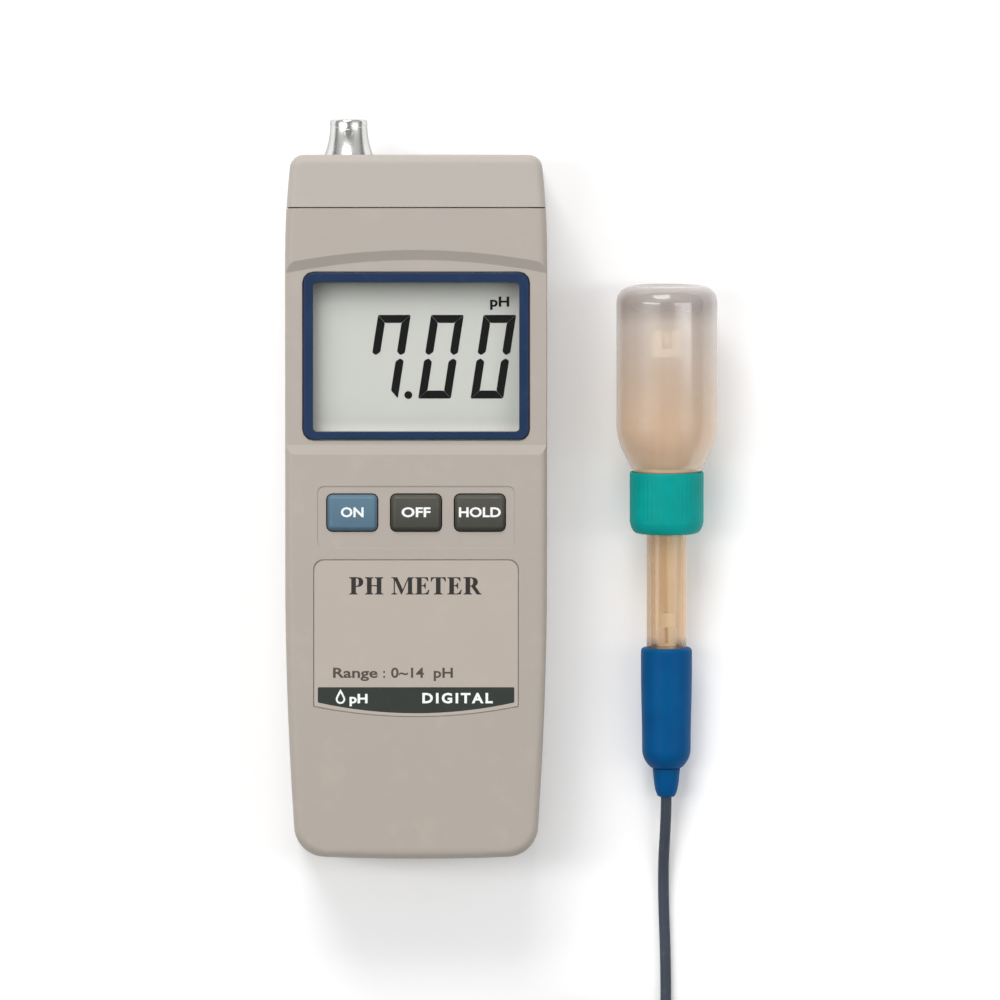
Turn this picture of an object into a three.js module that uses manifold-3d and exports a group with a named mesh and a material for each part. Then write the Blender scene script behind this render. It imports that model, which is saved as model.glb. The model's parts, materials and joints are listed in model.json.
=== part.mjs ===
// A handheld pH meter with its electrode, storage bottle, cable and plug.
// Millimetres. The meter lies on its back: +X is right, +Y points to the socket end and +Z out of
// the display. The origin is the middle of the flat back face. The electrode lies beside it.
import * as THREE from 'three';
import { mergeVertices } from 'three/addons/utils/BufferGeometryUtils.js';
import Module from 'manifold-3d';

// ---------- Driving dimensions ----------
// case
const caseLength = 180;
const caseHalfWidth = 33.5;
const caseDepth = 32;
const edgeRadius = 2.4;          // rounding of the front and back edges
const topCornerRadius = 3.6;
const bottomCornerRadius = 8;
const bottomBow = 0.5;           // how far the bottom edge bulges at its middle
const sideTop = 64;              // above this the sides draw in by topEase at the end
const topEase = 1.6;
const sideBottom = -14;          // below this the sides draw in by bottomEase at the end
const bottomEase = 2.9;
const wall = 2.5;
const frontWall = 3;
const backWall = 3;
const partingHeight = 17;        // where the front and back shells meet
const seam = 0.3;                // visible gap between neighbouring shells
const capSeamFromTop = 13.6;     // end cap length
// display
const valleyDepth = 1.4;         // the front is sunk this much around the display
const valleySlope = 2.5;
const valleyBottom = 15.8;
const valleyTop = 63.1;
const valleyArch = 3.4;          // the top step drops this much at the sides
const bezelWidth = 57.7;
const bezelHeight = 42.7;
const bezelCentreY = 38.5;
const bezelProud = 0.6;
const bezelDepth = 2.2;
const bezelBorder = 2.5;
const bezelBottomBorder = 2;
const bezelCorner = 2.6;
const ledgeWidth = 2.2;
const lensThickness = 1.1;
const ribHeight = 1.5;           // thickness of the ledge under the lens
const fit = 0.25;                // sliding clearance round keys, bezel, lens and label
// keys
const keyWidth = 12.8;
const keyHeight = 9.3;
const keyCorner = 1.3;
const keyPitch = 16.3;
const keyRowY = -1.5;
const keyProud = 0.9;
const padSunk = 0.25;            // the keys stand in a shallow panel
const padWidth = 50.4;
const padHeight = 15.8;
const padCorner = 1.6;
const padAboveRow = 6.75;        // from the keys' row to the panel's top edge
const keyFlange = 0.9;
const keyFlangeThickness = 1.2;
// label
const labelWidth = 52;
const labelTop = -13.7;
const labelLength = 37.2;
const labelArch = 2.6;
const labelCorner = 2.5;
const labelThickness = 0.3;
const labelSunk = 0.15;
// inner pieces
const boardThickness = 1.6;
const boardTopHeight = 19.6;
const boardInset = 4.5;          // from the case side to the board's edge
const boardWidth = 2 * (caseHalfWidth - boardInset);
const boardBottomY = -20;
const boardTopY = 63;
const lcdThickness = 2.2;
const lcdBorder = 1.5;           // how far the glass runs on past the window opening
const holderWall = 2;
// screws
const screwHeadRadius = 2.6;
const screwHeadHeight = 1.8;
const screwShankRadius = 1.3;
const screwLength = 22;
const screwInsetX = 7;
const screwBelowSeam = 7.4;
const screwAboveEnd = 15;
const bossRadius = 3.4;
const counterboreDepth = 3;
// battery
const batteryWidth = 26.5;
const batteryThickness = 17.5;
const batteryLength = 46.4;
const terminalHeight = 2.4;
const bayClearance = 1;
const bayWall = 1.5;
const bayFromEnd = 5;
const doorWidth = 34;
const doorTongue = 1.2;
const doorThickness = 2.4;
const snapThickness = 4.6;
// probe socket
const jackX = -17.4;
const jackHeight = 16;
const jackRadius = 4.8;
const jackLength = 9.4;
const jackBore = 4.05;
const jackFlangeRadius = 6.3;
const jackThreadRadius = 4.7;
// calibration trimmers
const trimmerY = [44, 30];
const trimmerHeight = 13.8;
const trimmerScrewRadius = 1.4;
// electrode
const probeX = 64.3;
const barrelRadius = 5.1;
const barrelWall = 1.1;
const tipY = 45.3;
const guardLength = 6.9;
const guardInset = 1;            // the guard is this much slimmer than the barrel
const stemRadius = 2.1;
const stemWall = 0.5;
const handleTopY = -36.3;
const handleWall = 1.5;
const handleLength = 31.2;
const handleStep = 0.35;         // the handle's lower part is this much slimmer
const reliefLength = 7.4;
const bottleRadius = 13;
const bottleTopY = 56.9;
const bottleWall = 1.3;
const shoulderAboveCap = 8.1;
const neckClearance = 1.7;       // between the barrel and the bottle's neck
const neckWall = 1.4;
const capWall = 1;
const capTopY = 9.1;
const capLength = 15.9;
const capFloor = 3.6;
const running = 0.3;             // radial clearance of the cap on the bottle's neck
const solutionLevel = 15.6;      // height of the liquid above the table
// cable and plug
const cableRadius = 1.4;
const coilPitch = 2.9;
const coilInnerRadius = 10.9;
const coilTurnsOut = 4;
const coilCentre = [41.5, -153.5];
const plugX = 77;
const plugBackY = -148.4;
const bootLength = 18;
const collarRadius = 7.2;
const collarLength = 14;
const faceGap = 0.3;

// ---------- Solids and booleans ----------
const wasm = await Module();
wasm.setup();

// A closed geometry as a solid that can be joined and cut.
function solid(geometry) {
  const bare = geometry.clone();
  bare.deleteAttribute('normal');
  bare.deleteAttribute('uv');
  const merged = mergeVertices(bare, 1e-4);
  return new wasm.Manifold(new wasm.Mesh({
    numProp: 3,
    vertProperties: new Float32Array(merged.attributes.position.array),
    triVerts: new Uint32Array(merged.index.array),
  }));
}

// A solid as a geometry that a mesh can hold.
function geometryOf(made) {
  const mesh = made.getMesh();
  const positions = new Float32Array(mesh.numVert * 3);
  for (let i = 0; i < mesh.numVert; i += 1) {
    const start = i * mesh.numProp;
    positions.set(mesh.vertProperties.subarray(start, start + 3), i * 3);
  }
  const geometry = new THREE.BufferGeometry();
  geometry.setAttribute('position', new THREE.BufferAttribute(positions, 3));
  geometry.setIndex(new THREE.BufferAttribute(new Uint32Array(mesh.triVerts), 1));
  geometry.computeVertexNormals();
  return geometry;
}

function join(first, ...others) {
  return others.reduce((sum, other) => sum.add(other), first);
}

function cut(first, ...others) {
  return others.reduce((rest, other) => rest.subtract(other), first);
}

// A box between two corners.
function block(x0, x1, y0, y1, z0, z1) {
  const geometry = new THREE.BoxGeometry(x1 - x0, y1 - y0, z1 - z0);
  geometry.translate((x0 + x1) / 2, (y0 + y1) / 2, (z0 + z1) / 2);
  return solid(geometry);
}

// An outline in the XY plane raised from z0 to z1, with both its ends rounded by round.
function raised(points, z0, z1, round = 0, steps = 2) {
  const geometry = new THREE.ExtrudeGeometry(new THREE.Shape(points), {
    depth: z1 - z0 - 2 * round,
    bevelEnabled: round > 0,
    bevelThickness: round,
    bevelSize: round,
    bevelOffset: -round,
    bevelSegments: steps,
  });
  geometry.translate(0, 0, z0 + round);
  return solid(geometry);
}

// A round post along Z.
function post(x, y, z0, z1, radius, sides = 20) {
  const geometry = new THREE.CylinderGeometry(radius, radius, z1 - z0, sides);
  geometry.rotateX(Math.PI / 2);
  geometry.translate(x, y, (z0 + z1) / 2);
  return solid(geometry);
}

// A turned piece round the Y axis. The profile is a list of [radius, y], in either direction.
function turned(profile, sides = 36) {
  const points = profile.map(([r, y]) => new THREE.Vector2(r, y));
  const facesIn = THREE.ShapeUtils.area(points) < 0;
  return solid(new THREE.LatheGeometry(facesIn ? points.reverse() : points, sides));
}

// A ring round the Y axis between two radii.
function ring(inner, outer, y0, y1, sides = 36) {
  return turned([[inner, y0], [outer, y0], [outer, y1], [inner, y1], [inner, y0]], sides);
}

function moved(made, x, y, z) {
  return made.translate([x, y, z]);
}

// Points along an arc, angles in degrees.
function arc(cx, cy, radius, from, to, steps = 6) {
  const points = [];
  for (let i = 0; i <= steps; i += 1) {
    const angle = THREE.MathUtils.degToRad(from + (to - from) * (i / steps));
    points.push(new THREE.Vector2(cx + radius * Math.cos(angle), cy + radius * Math.sin(angle)));
  }
  return points;
}

// A rectangle with round corners.
function roundedRectangle(cx, cy, width, height, radius, steps = 3) {
  const x = width / 2 - radius;
  const y = height / 2 - radius;
  return [
    ...arc(cx + x, cy - y, radius, -90, 0, steps),
    ...arc(cx + x, cy + y, radius, 0, 90, steps),
    ...arc(cx - x, cy + y, radius, 90, 180, steps),
    ...arc(cx - x, cy - y, radius, 180, 270, steps),
  ];
}

// A tube along a list of points, with flat ends.
function tube(points, radius, sides, steps) {
  const route = points.map((p) => new THREE.Vector3(...p));
  const section = new THREE.Shape();
  section.absarc(0, 0, radius, 0, 2 * Math.PI);
  return new THREE.ExtrudeGeometry(new THREE.Shape(section.getPoints(sides / 2).slice(0, -1)), {
    steps,
    extrudePath: new THREE.CatmullRomCurve3(route, false, 'centripetal'),
    bevelEnabled: false,
  });
}

// ---------- Finishes and nodes ----------
function finish(color, roughness, metalness = 0, opacity = 1) {
  return new THREE.MeshStandardMaterial({
    color,
    roughness,
    metalness,
    opacity,
    transparent: opacity < 1,
  });
}

const beige = 0xb9b1a8;
const nickel = 0xb8b8ba;
const brass = 0xc9a54a;

const phMeter = new THREE.Group();
const probe = new THREE.Group();
phMeter.add(probe);

function addNode(name, made, material, group = phMeter) {
  const geometry = made.isBufferGeometry ? made : geometryOf(made);
  const mesh = new THREE.Mesh(geometry, material);
  mesh.name = name;
  group.add(mesh);
  return mesh;
}

// ---------- Case outline ----------
const topY = caseLength / 2;
const bottomY = -caseLength / 2;

// Half the case's width at a height along it, drawn inset inside the outer surface.
function halfWidthAt(y, inset) {
  if (y > sideTop) return caseHalfWidth - inset - topEase * ((y - sideTop) / (topY - sideTop)) ** 2;
  if (y < sideBottom) {
    return caseHalfWidth - inset - bottomEase * ((sideBottom - y) / (sideBottom - bottomY)) ** 2;
  }
  return caseHalfWidth - inset;
}

function caseOutline(inset) {
  const topCorner = Math.max(topCornerRadius - inset, 1);
  const bottomCorner = bottomCornerRadius - inset;
  const top = topY - inset;
  const bottom = bottomY + inset;
  const topCornerY = top - topCorner;
  const bottomCornerY = bottom + bottomBow + bottomCorner;
  const topWidth = halfWidthAt(topCornerY, inset);
  const bottomWidth = halfWidthAt(bottomCornerY, inset);
  const right = arc(bottomWidth - bottomCorner, bottomCornerY, bottomCorner, -90, 0, 9);
  const sideSteps = 7;
  for (let i = 1; i <= sideSteps; i += 1) {
    const y = bottomCornerY + (sideBottom - bottomCornerY) * (i / sideSteps);
    right.push(new THREE.Vector2(halfWidthAt(y, inset), y));
  }
  for (let i = 0; i < 4; i += 1) {
    const y = sideTop + (topCornerY - sideTop) * (i / 4);
    right.push(new THREE.Vector2(halfWidthAt(y, inset), y));
  }
  right.push(...arc(topWidth - topCorner, topCornerY, topCorner, 0, 90, 6));
  const left = right.map((p) => new THREE.Vector2(-p.x, p.y)).reverse();
  // the bottom edge is a shallow bow
  const bowWidth = bottomWidth - bottomCorner;
  const bow = [];
  for (let i = 1; i < 6; i += 1) {
    const x = -bowWidth + (2 * bowWidth * i) / 6;
    bow.push(new THREE.Vector2(x, bottom + bottomBow * (x / bowWidth) ** 2));
  }
  return [...right, ...left, ...bow];
}

// The whole outer body, rounded along its front and back edges.
function caseBody() {
  const geometry = new THREE.ExtrudeGeometry(new THREE.Shape(caseOutline(0)), {
    depth: caseDepth - 2 * edgeRadius,
    bevelThickness: edgeRadius,
    bevelSize: edgeRadius,
    bevelOffset: -edgeRadius,
    bevelSegments: 6,
  });
  geometry.translate(0, 0, edgeRadius);
  return solid(geometry);
}

const body = caseBody();
const cavity = raised(caseOutline(wall), backWall, caseDepth - frontWall);
const capSeamY = topY - capSeamFromTop;
const wide = 60;
const belowCap = (z0, z1) => block(-wide, wide, bottomY - 10, capSeamY - seam / 2, z0, z1);

// ---------- Display place ----------
const valleyFloor = caseDepth - valleyDepth;
const bezelTop = valleyFloor + bezelProud;
const bezelUnder = bezelTop - bezelDepth;
const lensTop = bezelUnder - 0.1;
const seatHeight = lensTop - lensThickness - 0.1;
const ribUnder = seatHeight - ribHeight;
const openingWidth = bezelWidth - 2 * ledgeWidth;
const openingHeight = bezelHeight - 2 * ledgeWidth;
const frontInside = caseDepth - frontWall;

function valleyCutter() {
  const halfSpan = caseHalfWidth + 8;
  const points = [new THREE.Vector2(-halfSpan, valleyBottom), new THREE.Vector2(halfSpan, valleyBottom)];
  const steps = 12;
  for (let i = 0; i <= steps; i += 1) {
    const x = halfSpan - (2 * halfSpan * i) / steps;
    points.push(new THREE.Vector2(x, valleyTop - valleyArch * (x / caseHalfWidth) ** 2));
  }
  const geometry = new THREE.ExtrudeGeometry(new THREE.Shape(points), {
    depth: 4,
    bevelThickness: valleyDepth,
    bevelSize: valleySlope,
    bevelSegments: 1,
  });
  geometry.translate(0, 0, caseDepth);
  return solid(geometry);
}

// ---------- Fixing screws ----------
const screwPlaces = [];
for (const y of [capSeamY - screwBelowSeam, bottomY + screwAboveEnd]) {
  const x = halfWidthAt(y, 0) - screwInsetX;
  screwPlaces.push([x, y], [-x, y]);
}

const headSeat = counterboreDepth;

// ---------- Front shell ----------
const labelTopHeight = caseDepth - labelSunk;

function frontShell() {
  const outer = cut(body.intersect(belowCap(partingHeight + seam / 2, caseDepth + 1)), valleyCutter());
  const ledge = raised(
    roundedRectangle(0, bezelCentreY, bezelWidth + 4, bezelHeight + 4, bezelCorner + 2),
    ribUnder,
    frontInside + 0.5,
  );
  const bosses = screwPlaces.map(
    ([x, y]) => post(x, y, partingHeight + seam / 2, frontInside + 0.5, bossRadius - 0.2),
  );
  let shell = join(cut(outer, cavity), ledge, ...bosses);
  shell = cut(
    shell,
    raised(
      roundedRectangle(0, bezelCentreY, bezelWidth + 2 * fit, bezelHeight + 2 * fit, bezelCorner + fit),
      seatHeight,
      caseDepth + 2,
    ),
    raised(
      roundedRectangle(0, bezelCentreY, openingWidth, openingHeight, 1.2),
      ribUnder - 1,
      seatHeight + 1,
    ),
    raised(labelOutline(fit), labelTopHeight - labelThickness - 0.05, caseDepth + 1),
    raised(
      roundedRectangle(0, keyRowY + padAboveRow - padHeight / 2, padWidth, padHeight, padCorner),
      caseDepth - padSunk,
      caseDepth + 1,
    ),
  );
  for (const [x, y] of screwPlaces) {
    const pilotEnd = headSeat + screwLength + 1;
    shell = cut(shell, post(x, y, partingHeight - 1, pilotEnd, screwShankRadius + 0.15, 16));
  }
  for (const x of keyColumns) {
    const slot = roundedRectangle(x, keyRowY, keyWidth + 2 * fit, keyHeight + 2 * fit, keyCorner + fit);
    shell = cut(shell, raised(slot, frontInside - 1, caseDepth + 1));
  }
  return shell;
}

const keyColumns = [-keyPitch, 0, keyPitch];

// The label's outline: round top corners and a bowed bottom edge.
function labelOutline(grow) {
  const half = labelWidth / 2 + grow;
  const top = labelTop + grow;
  const low = labelTop - labelLength - grow;
  const points = [];
  const steps = 10;
  for (let i = 0; i <= steps; i += 1) {
    const x = -half + (2 * half * i) / steps;
    points.push(new THREE.Vector2(x, low - labelArch * (1 - (x / half) ** 2)));
  }
  points.push(...arc(half - labelCorner, top - labelCorner, labelCorner, 0, 90, 5));
  points.push(...arc(-half + labelCorner, top - labelCorner, labelCorner, 90, 180, 5));
  return points;
}

addNode('front_shell', frontShell(), finish(beige, 0.55));

// ---------- Back shell ----------
const bayHalfWidth = batteryWidth / 2 + bayClearance;
const bayEndY = bottomY + bayFromEnd;
const batteryBottom = doorThickness + 0.5;
const batteryEndY = bayEndY + 2;
const batteryTopY = batteryEndY + batteryLength;
const snapY = batteryTopY + 0.3;
const bayTopY = snapY + snapThickness + 1.2;
const bayCeiling = batteryBottom + batteryThickness + 0.5;
const doorTopY = bayTopY + 2;
const doorHalf = doorWidth / 2;
const doorStep = doorThickness / 2;
const tongueHalf = 4;
const tongueLength = 2;

// The door's own shape, grown by a clearance, as a cutter or as the piece.
function doorShape(grow, low) {
  const half = doorHalf + grow;
  const top = doorTopY + grow;
  const step = doorStep - grow / 2;
  const thick = doorThickness + grow;
  return join(
    block(-half, half, bottomY - 5, top, low, doorStep + grow),
    block(-half - doorTongue, half + doorTongue, bottomY - 5, top, step, thick),
    block(-tongueHalf - grow, tongueHalf + grow, doorTopY - 1, top + tongueLength, step, thick),
  );
}

function backShell() {
  const outer = body.intersect(belowCap(-1, partingHeight - seam / 2));
  const railHalf = doorHalf + 3.5;
  const rail = block(-railHalf, railHalf, bottomY + wall - 1, doorTopY + tongueLength + 2.2, 1, 4.4);
  const bayOuter = bayHalfWidth + bayWall;
  const bay = block(-bayOuter, bayOuter, bayEndY - bayWall, bayTopY + bayWall, 1, bayCeiling + bayWall);
  const bosses = screwPlaces.map(
    ([x, y]) => post(x, y, backWall - 0.5, partingHeight - seam / 2, bossRadius),
  );
  const props = [];
  for (const y of [boardTopY - 4, boardBottomY + 4]) {
    for (const side of [-1, 1]) {
      const x = side * (boardWidth / 2 - 3.5);
      props.push(post(x, y, backWall - 0.5, boardTopHeight - boardThickness - 0.1, 2.2, 16));
    }
  }
  let shell = join(cut(outer, cavity), rail, bay, ...bosses, ...props);
  shell = cut(
    shell,
    doorShape(fit, -1),
    block(-bayHalfWidth, bayHalfWidth, bayEndY, bayTopY, -1, bayCeiling),
    block(-9, 9, bayTopY - 1, bayTopY + bayWall + 1, batteryBottom + 6, batteryBottom + 14),
  );
  for (const [x, y] of screwPlaces) {
    shell = cut(
      shell,
      post(x, y, -1, headSeat, screwHeadRadius + 0.4),
      post(x, y, headSeat - 0.5, partingHeight + 1, screwShankRadius + 0.3, 16),
    );
  }
  for (const y of trimmerY) {
    const hole = new THREE.CylinderGeometry(trimmerScrewRadius + 0.4, trimmerScrewRadius + 0.4, 8, 20);
    hole.rotateZ(Math.PI / 2);
    hole.translate(caseHalfWidth - 1, y, trimmerHeight);
    shell = cut(shell, solid(hole));
  }
  return shell;
}

addNode('back_shell', backShell(), finish(beige, 0.6));

// ---------- Battery cover ----------
function batteryCover() {
  const slab = doorShape(0, 0).intersect(body);
  const ribs = [];
  for (let i = 0; i < 5; i += 1) {
    const y = doorTopY - 8 - i * 2.4;
    ribs.push(block(-8, 8, y - 0.5, y + 0.5, -1, 0.6));
  }
  return cut(slab, ...ribs);
}

addNode('battery_cover', batteryCover(), finish(beige, 0.6));

// ---------- End cap ----------
function endCap() {
  const outer = body.intersect(block(-wide, wide, capSeamY + seam / 2, topY + 1, -1, caseDepth + 1));
  const lipOuter = raised(caseOutline(wall + 0.3), backWall + 0.3, frontInside - 0.3);
  const lipInner = raised(caseOutline(wall + 1.5), backWall + 1.5, frontInside - 1.5);
  const lip = cut(lipOuter, lipInner).intersect(
    block(-wide, wide, capSeamY - 3, capSeamY + 2, -1, caseDepth),
  );
  // the band joins the lip to the cap's own wall
  const bandOuter = raised(caseOutline(wall - 0.5), backWall - 0.5, frontInside + 0.5);
  const band = cut(bandOuter, lipInner).intersect(
    block(-wide, wide, capSeamY + seam / 2, capSeamY + 2, -1, caseDepth),
  );
  return cut(join(cut(outer, cavity), lip, band), jackHole());
}

// The round hole that the socket passes through.
function jackHole() {
  const hole = new THREE.CylinderGeometry(jackThreadRadius + 0.2, jackThreadRadius + 0.2, 20, 36);
  hole.translate(jackX, topY, jackHeight);
  return solid(hole);
}

addNode('end_cap', endCap(), finish(0xc2bbb3, 0.5));

// ---------- Case screws ----------
function caseScrew(x, y) {
  const head = post(x, y, headSeat - screwHeadHeight, headSeat, screwHeadRadius, 16);
  const shank = post(x, y, headSeat - 0.5, headSeat + screwLength, screwShankRadius, 8);
  const slotHeight = headSeat - screwHeadHeight;
  return cut(
    join(head, shank),
    block(x - 1.5, x + 1.5, y - 0.3, y + 0.3, slotHeight - 1, slotHeight + 0.9),
    block(x - 0.3, x + 0.3, y - 1.5, y + 1.5, slotHeight - 1, slotHeight + 0.9),
  );
}

screwPlaces.forEach(([x, y], i) => {
  addNode(`case_screw_${i + 1}`, caseScrew(x, y), finish(0x8a8a8c, 0.35, 0.9));
});

// ---------- Display ----------
function bezel() {
  const frame = raised(
    roundedRectangle(0, bezelCentreY, bezelWidth, bezelHeight, bezelCorner, 5),
    bezelUnder,
    bezelTop,
    0.4,
  );
  const innerWidth = bezelWidth - 2 * bezelBorder;
  const innerHeight = bezelHeight - bezelBorder - bezelBottomBorder;
  const innerY = bezelCentreY - (bezelBorder - bezelBottomBorder) / 2;
  const opening = roundedRectangle(0, innerY, innerWidth, innerHeight, 1);
  return cut(frame, raised(opening, bezelUnder - 1, bezelTop + 1));
}

addNode('display_bezel', bezel(), finish(0x2d4060, 0.4));

addNode(
  'display_lens',
  raised(
    roundedRectangle(0, bezelCentreY, bezelWidth - 0.8, bezelHeight - 0.8, 2),
    lensTop - lensThickness,
    lensTop,
  ),
  finish(0xf2f5f5, 0.05, 0, 0.25),
);

const lcdWidth = openingWidth + 2 * lcdBorder;
const lcdHeight = openingHeight + 2 * lcdBorder;
const lcdTop = ribUnder - 0.3;
const lcdUnder = lcdTop - lcdThickness;

// A slab centred on the display.
function displaySlab(width, height, z0, z1) {
  return block(-width / 2, width / 2, bezelCentreY - height / 2, bezelCentreY + height / 2, z0, z1);
}

addNode('lcd_glass', displaySlab(lcdWidth, lcdHeight, lcdUnder, lcdTop), finish(0xcccdc7, 0.25));

function lcdHolder() {
  const low = boardTopHeight + 0.1;
  const around = 2 * (fit + holderWall);
  return cut(
    displaySlab(lcdWidth + around, lcdHeight + around, low, lcdTop),
    displaySlab(lcdWidth + 2 * fit, lcdHeight + 2 * fit, low - 1, lcdTop + 1),
  );
}

addNode('lcd_holder', lcdHolder(), finish(0x2b2c2e, 0.6));

for (const [name, side] of [['upper', 1], ['lower', -1]]) {
  const y = bezelCentreY + side * (lcdHeight / 2 - 2);
  addNode(
    `contact_strip_${name}`,
    block(-lcdWidth / 2 + 3, lcdWidth / 2 - 3, y - 1.2, y + 1.2, boardTopHeight + 0.05, lcdUnder - 0.05),
    finish(0x3a3a3c, 0.8),
  );
}

// ---------- Circuit board ----------
const boardUnder = boardTopHeight - boardThickness;
addNode(
  'circuit_board',
  block(-boardWidth / 2, boardWidth / 2, boardBottomY, boardTopY, boardUnder, boardTopHeight),
  finish(0x1f5a3a, 0.5),
);
const chipTop = boardUnder - 0.1;
addNode('meter_chip', block(-7, 7, 13, 27, chipTop - 2.1, chipTop), finish(0x1c1c1e, 0.5));
addNode('input_amplifier', block(-20, -15, 48, 52, chipTop - 1.7, chipTop), finish(0x1c1c1e, 0.5));

// ---------- Keys ----------
const flangeTop = frontInside - 0.1;
const flangeUnder = flangeTop - keyFlangeThickness;
const keyTop = caseDepth + keyProud;

function keyPiece(x) {
  const outline = roundedRectangle(x, keyRowY, keyWidth, keyHeight, keyCorner);
  const top = raised(outline, flangeUnder + 0.2, keyTop, 0.7);
  const flange = raised(
    roundedRectangle(x, keyRowY, keyWidth + 2 * keyFlange, keyHeight + 2 * keyFlange, keyCorner),
    flangeUnder,
    flangeTop,
  );
  return join(top, flange);
}

const matTop = boardTopHeight + 1.1;
const keyNames = ['on', 'off', 'hold'];
const keyColours = [0x6e8a99, 0x4e4d44, 0x4e4d44];
keyNames.forEach((name, i) => {
  const x = keyColumns[i];
  addNode(`key_${name}`, keyPiece(x), finish(keyColours[i], 0.45));
  const domeTop = flangeUnder - 0.1;
  const dome = turned([
    [0, matTop + 0.05], [4.4, matTop + 0.05], [3.4, domeTop - 2.3], [3, domeTop], [0, domeTop],
  ], 16);
  // the dome is turned round Y, so it is stood up along Z
  const upright = dome.translate([0, -matTop, 0]).rotate([90, 0, 0]).translate([x, keyRowY, matTop]);
  addNode(`key_dome_${name}`, upright, finish(0xc9c7c0, 0.8));
});

addNode(
  'keypad_mat',
  block(-keyPitch - 9, keyPitch + 9, keyRowY - 8, keyRowY + 8, boardTopHeight + 0.1, matTop),
  finish(0xc9c7c0, 0.8),
);

// ---------- Label ----------
const label = raised(labelOutline(0), labelTopHeight - labelThickness, labelTopHeight);
addNode('front_label', label, finish(0xbeb2a9, 0.5));

// ---------- Battery ----------
const batteryMiddle = batteryBottom + batteryThickness / 2;
const studOffset = 6.35;

function alongY(x, z, y0, y1, radius, sides = 20) {
  const geometry = new THREE.CylinderGeometry(radius, radius, y1 - y0, sides);
  geometry.translate(x, (y0 + y1) / 2, z);
  return solid(geometry);
}

addNode(
  'battery',
  join(
    block(-batteryWidth / 2, batteryWidth / 2, batteryEndY, batteryTopY, batteryBottom,
      batteryBottom + batteryThickness),
    alongY(-studOffset, batteryMiddle, batteryTopY - 1, batteryTopY + terminalHeight, 2.8),
    alongY(studOffset, batteryMiddle, batteryTopY - 1, batteryTopY + terminalHeight, 3.8, 6),
  ),
  finish(0x2e3338, 0.4),
);
addNode(
  'battery_snap',
  cut(
    block(-12.5, 12.5, snapY, snapY + snapThickness, batteryMiddle - 5.5, batteryMiddle + 5.5),
    alongY(-studOffset, batteryMiddle, snapY - 1, snapY + terminalHeight + 0.3, 3.2),
    alongY(studOffset, batteryMiddle, snapY - 1, snapY + terminalHeight + 0.3, 4.2),
  ),
  finish(0x1d1d1f, 0.7),
);
for (const [name, side, color] of [['red', 1, 0xb02a22], ['black', -1, 0x1b1b1b]]) {
  const start = snapY + snapThickness + 0.3;
  const route = [
    [side * 5, start, batteryMiddle],
    [side * 5, start + 4, batteryMiddle + 1],
    [side * 6, start + 8, batteryMiddle + 2],
    [side * 8, boardBottomY + 3, boardUnder - 3],
    [side * 8.2, boardBottomY + 5, boardUnder - 0.4],
  ];
  addNode(`battery_wire_${name}`, tube(route, 0.7, 6, 10), finish(color, 0.5));
}

// ---------- Probe socket ----------
const innerWallY = topY - wall;
const jackEndY = topY + jackLength;

function jackShell() {
  const profile = [
    [jackBore, jackEndY], [jackBore, topY + 0.6], [2.6, topY + 0.6], [2.6, innerWallY - 7.5],
    [jackThreadRadius, innerWallY - 7.5], [jackThreadRadius, topY + 0.05], [jackFlangeRadius, topY + 0.05],
    [jackFlangeRadius, topY + 1.2], [jackRadius + 0.5, topY + 1.8], [jackRadius, topY + 2.4],
    [jackRadius, jackEndY - 0.4], [jackRadius - 0.4, jackEndY], [jackBore, jackEndY],
  ];
  const lugs = post(0, jackEndY - 3.6, -jackRadius - 0.7, jackRadius + 0.7, 1, 16);
  const hollow = new THREE.CylinderGeometry(jackBore, jackBore, 8, 28);
  hollow.translate(0, jackEndY - 3.6, 0);
  return moved(join(turned(profile, 28), cut(lugs, solid(hollow))), jackX, 0, jackHeight);
}

addNode('probe_jack_shell', jackShell(), finish(nickel, 0.25, 0.95));
addNode(
  'probe_jack_insulator',
  moved(ring(1.2, 2.45, innerWallY - 7, jackEndY - 1.2, 24), jackX, 0, jackHeight),
  finish(0xece9e0, 0.5),
);
addNode(
  'probe_jack_contact',
  moved(
    turned([
      [0, innerWallY - 11], [0.7, innerWallY - 11], [1.05, innerWallY - 6.5], [1.05, jackEndY - 1.6],
      [0.55, jackEndY - 1.6], [0.55, jackEndY - 5], [0, jackEndY - 5],
    ], 16),
    jackX, 0, jackHeight,
  ),
  finish(brass, 0.3, 0.9),
);
addNode(
  'probe_jack_washer',
  moved(ring(jackThreadRadius + 0.2, 7, innerWallY - 1, innerWallY - 0.5, 24), jackX, 0, jackHeight),
  finish(nickel, 0.35, 0.9),
);
addNode(
  'probe_jack_nut',
  cut(alongY(jackX, jackHeight, innerWallY - 3.8, innerWallY - 1.1, 7.4, 6),
    alongY(jackX, jackHeight, innerWallY - 5, innerWallY, jackThreadRadius + 0.15, 24)),
  finish(nickel, 0.35, 0.9),
);
addNode(
  'probe_jack_lead',
  tube([
    [jackX, innerWallY - 11.3, jackHeight],
    [jackX, innerWallY - 15, jackHeight - 0.8],
    [jackX, boardTopY + 1, jackHeight - 1.6],
    [jackX, boardTopY - 4, boardUnder - 2.2],
    [jackX, boardTopY - 6, boardUnder - 0.4],
  ], 0.6, 6, 10),
  finish(0xd8d4c8, 0.5),
);

// ---------- Calibration trimmers ----------
function alongX(y, z, x0, x1, radius, sides = 20) {
  const geometry = new THREE.CylinderGeometry(radius, radius, x1 - x0, sides);
  geometry.rotateZ(Math.PI / 2);
  geometry.translate((x0 + x1) / 2, y, z);
  return solid(geometry);
}

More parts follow.
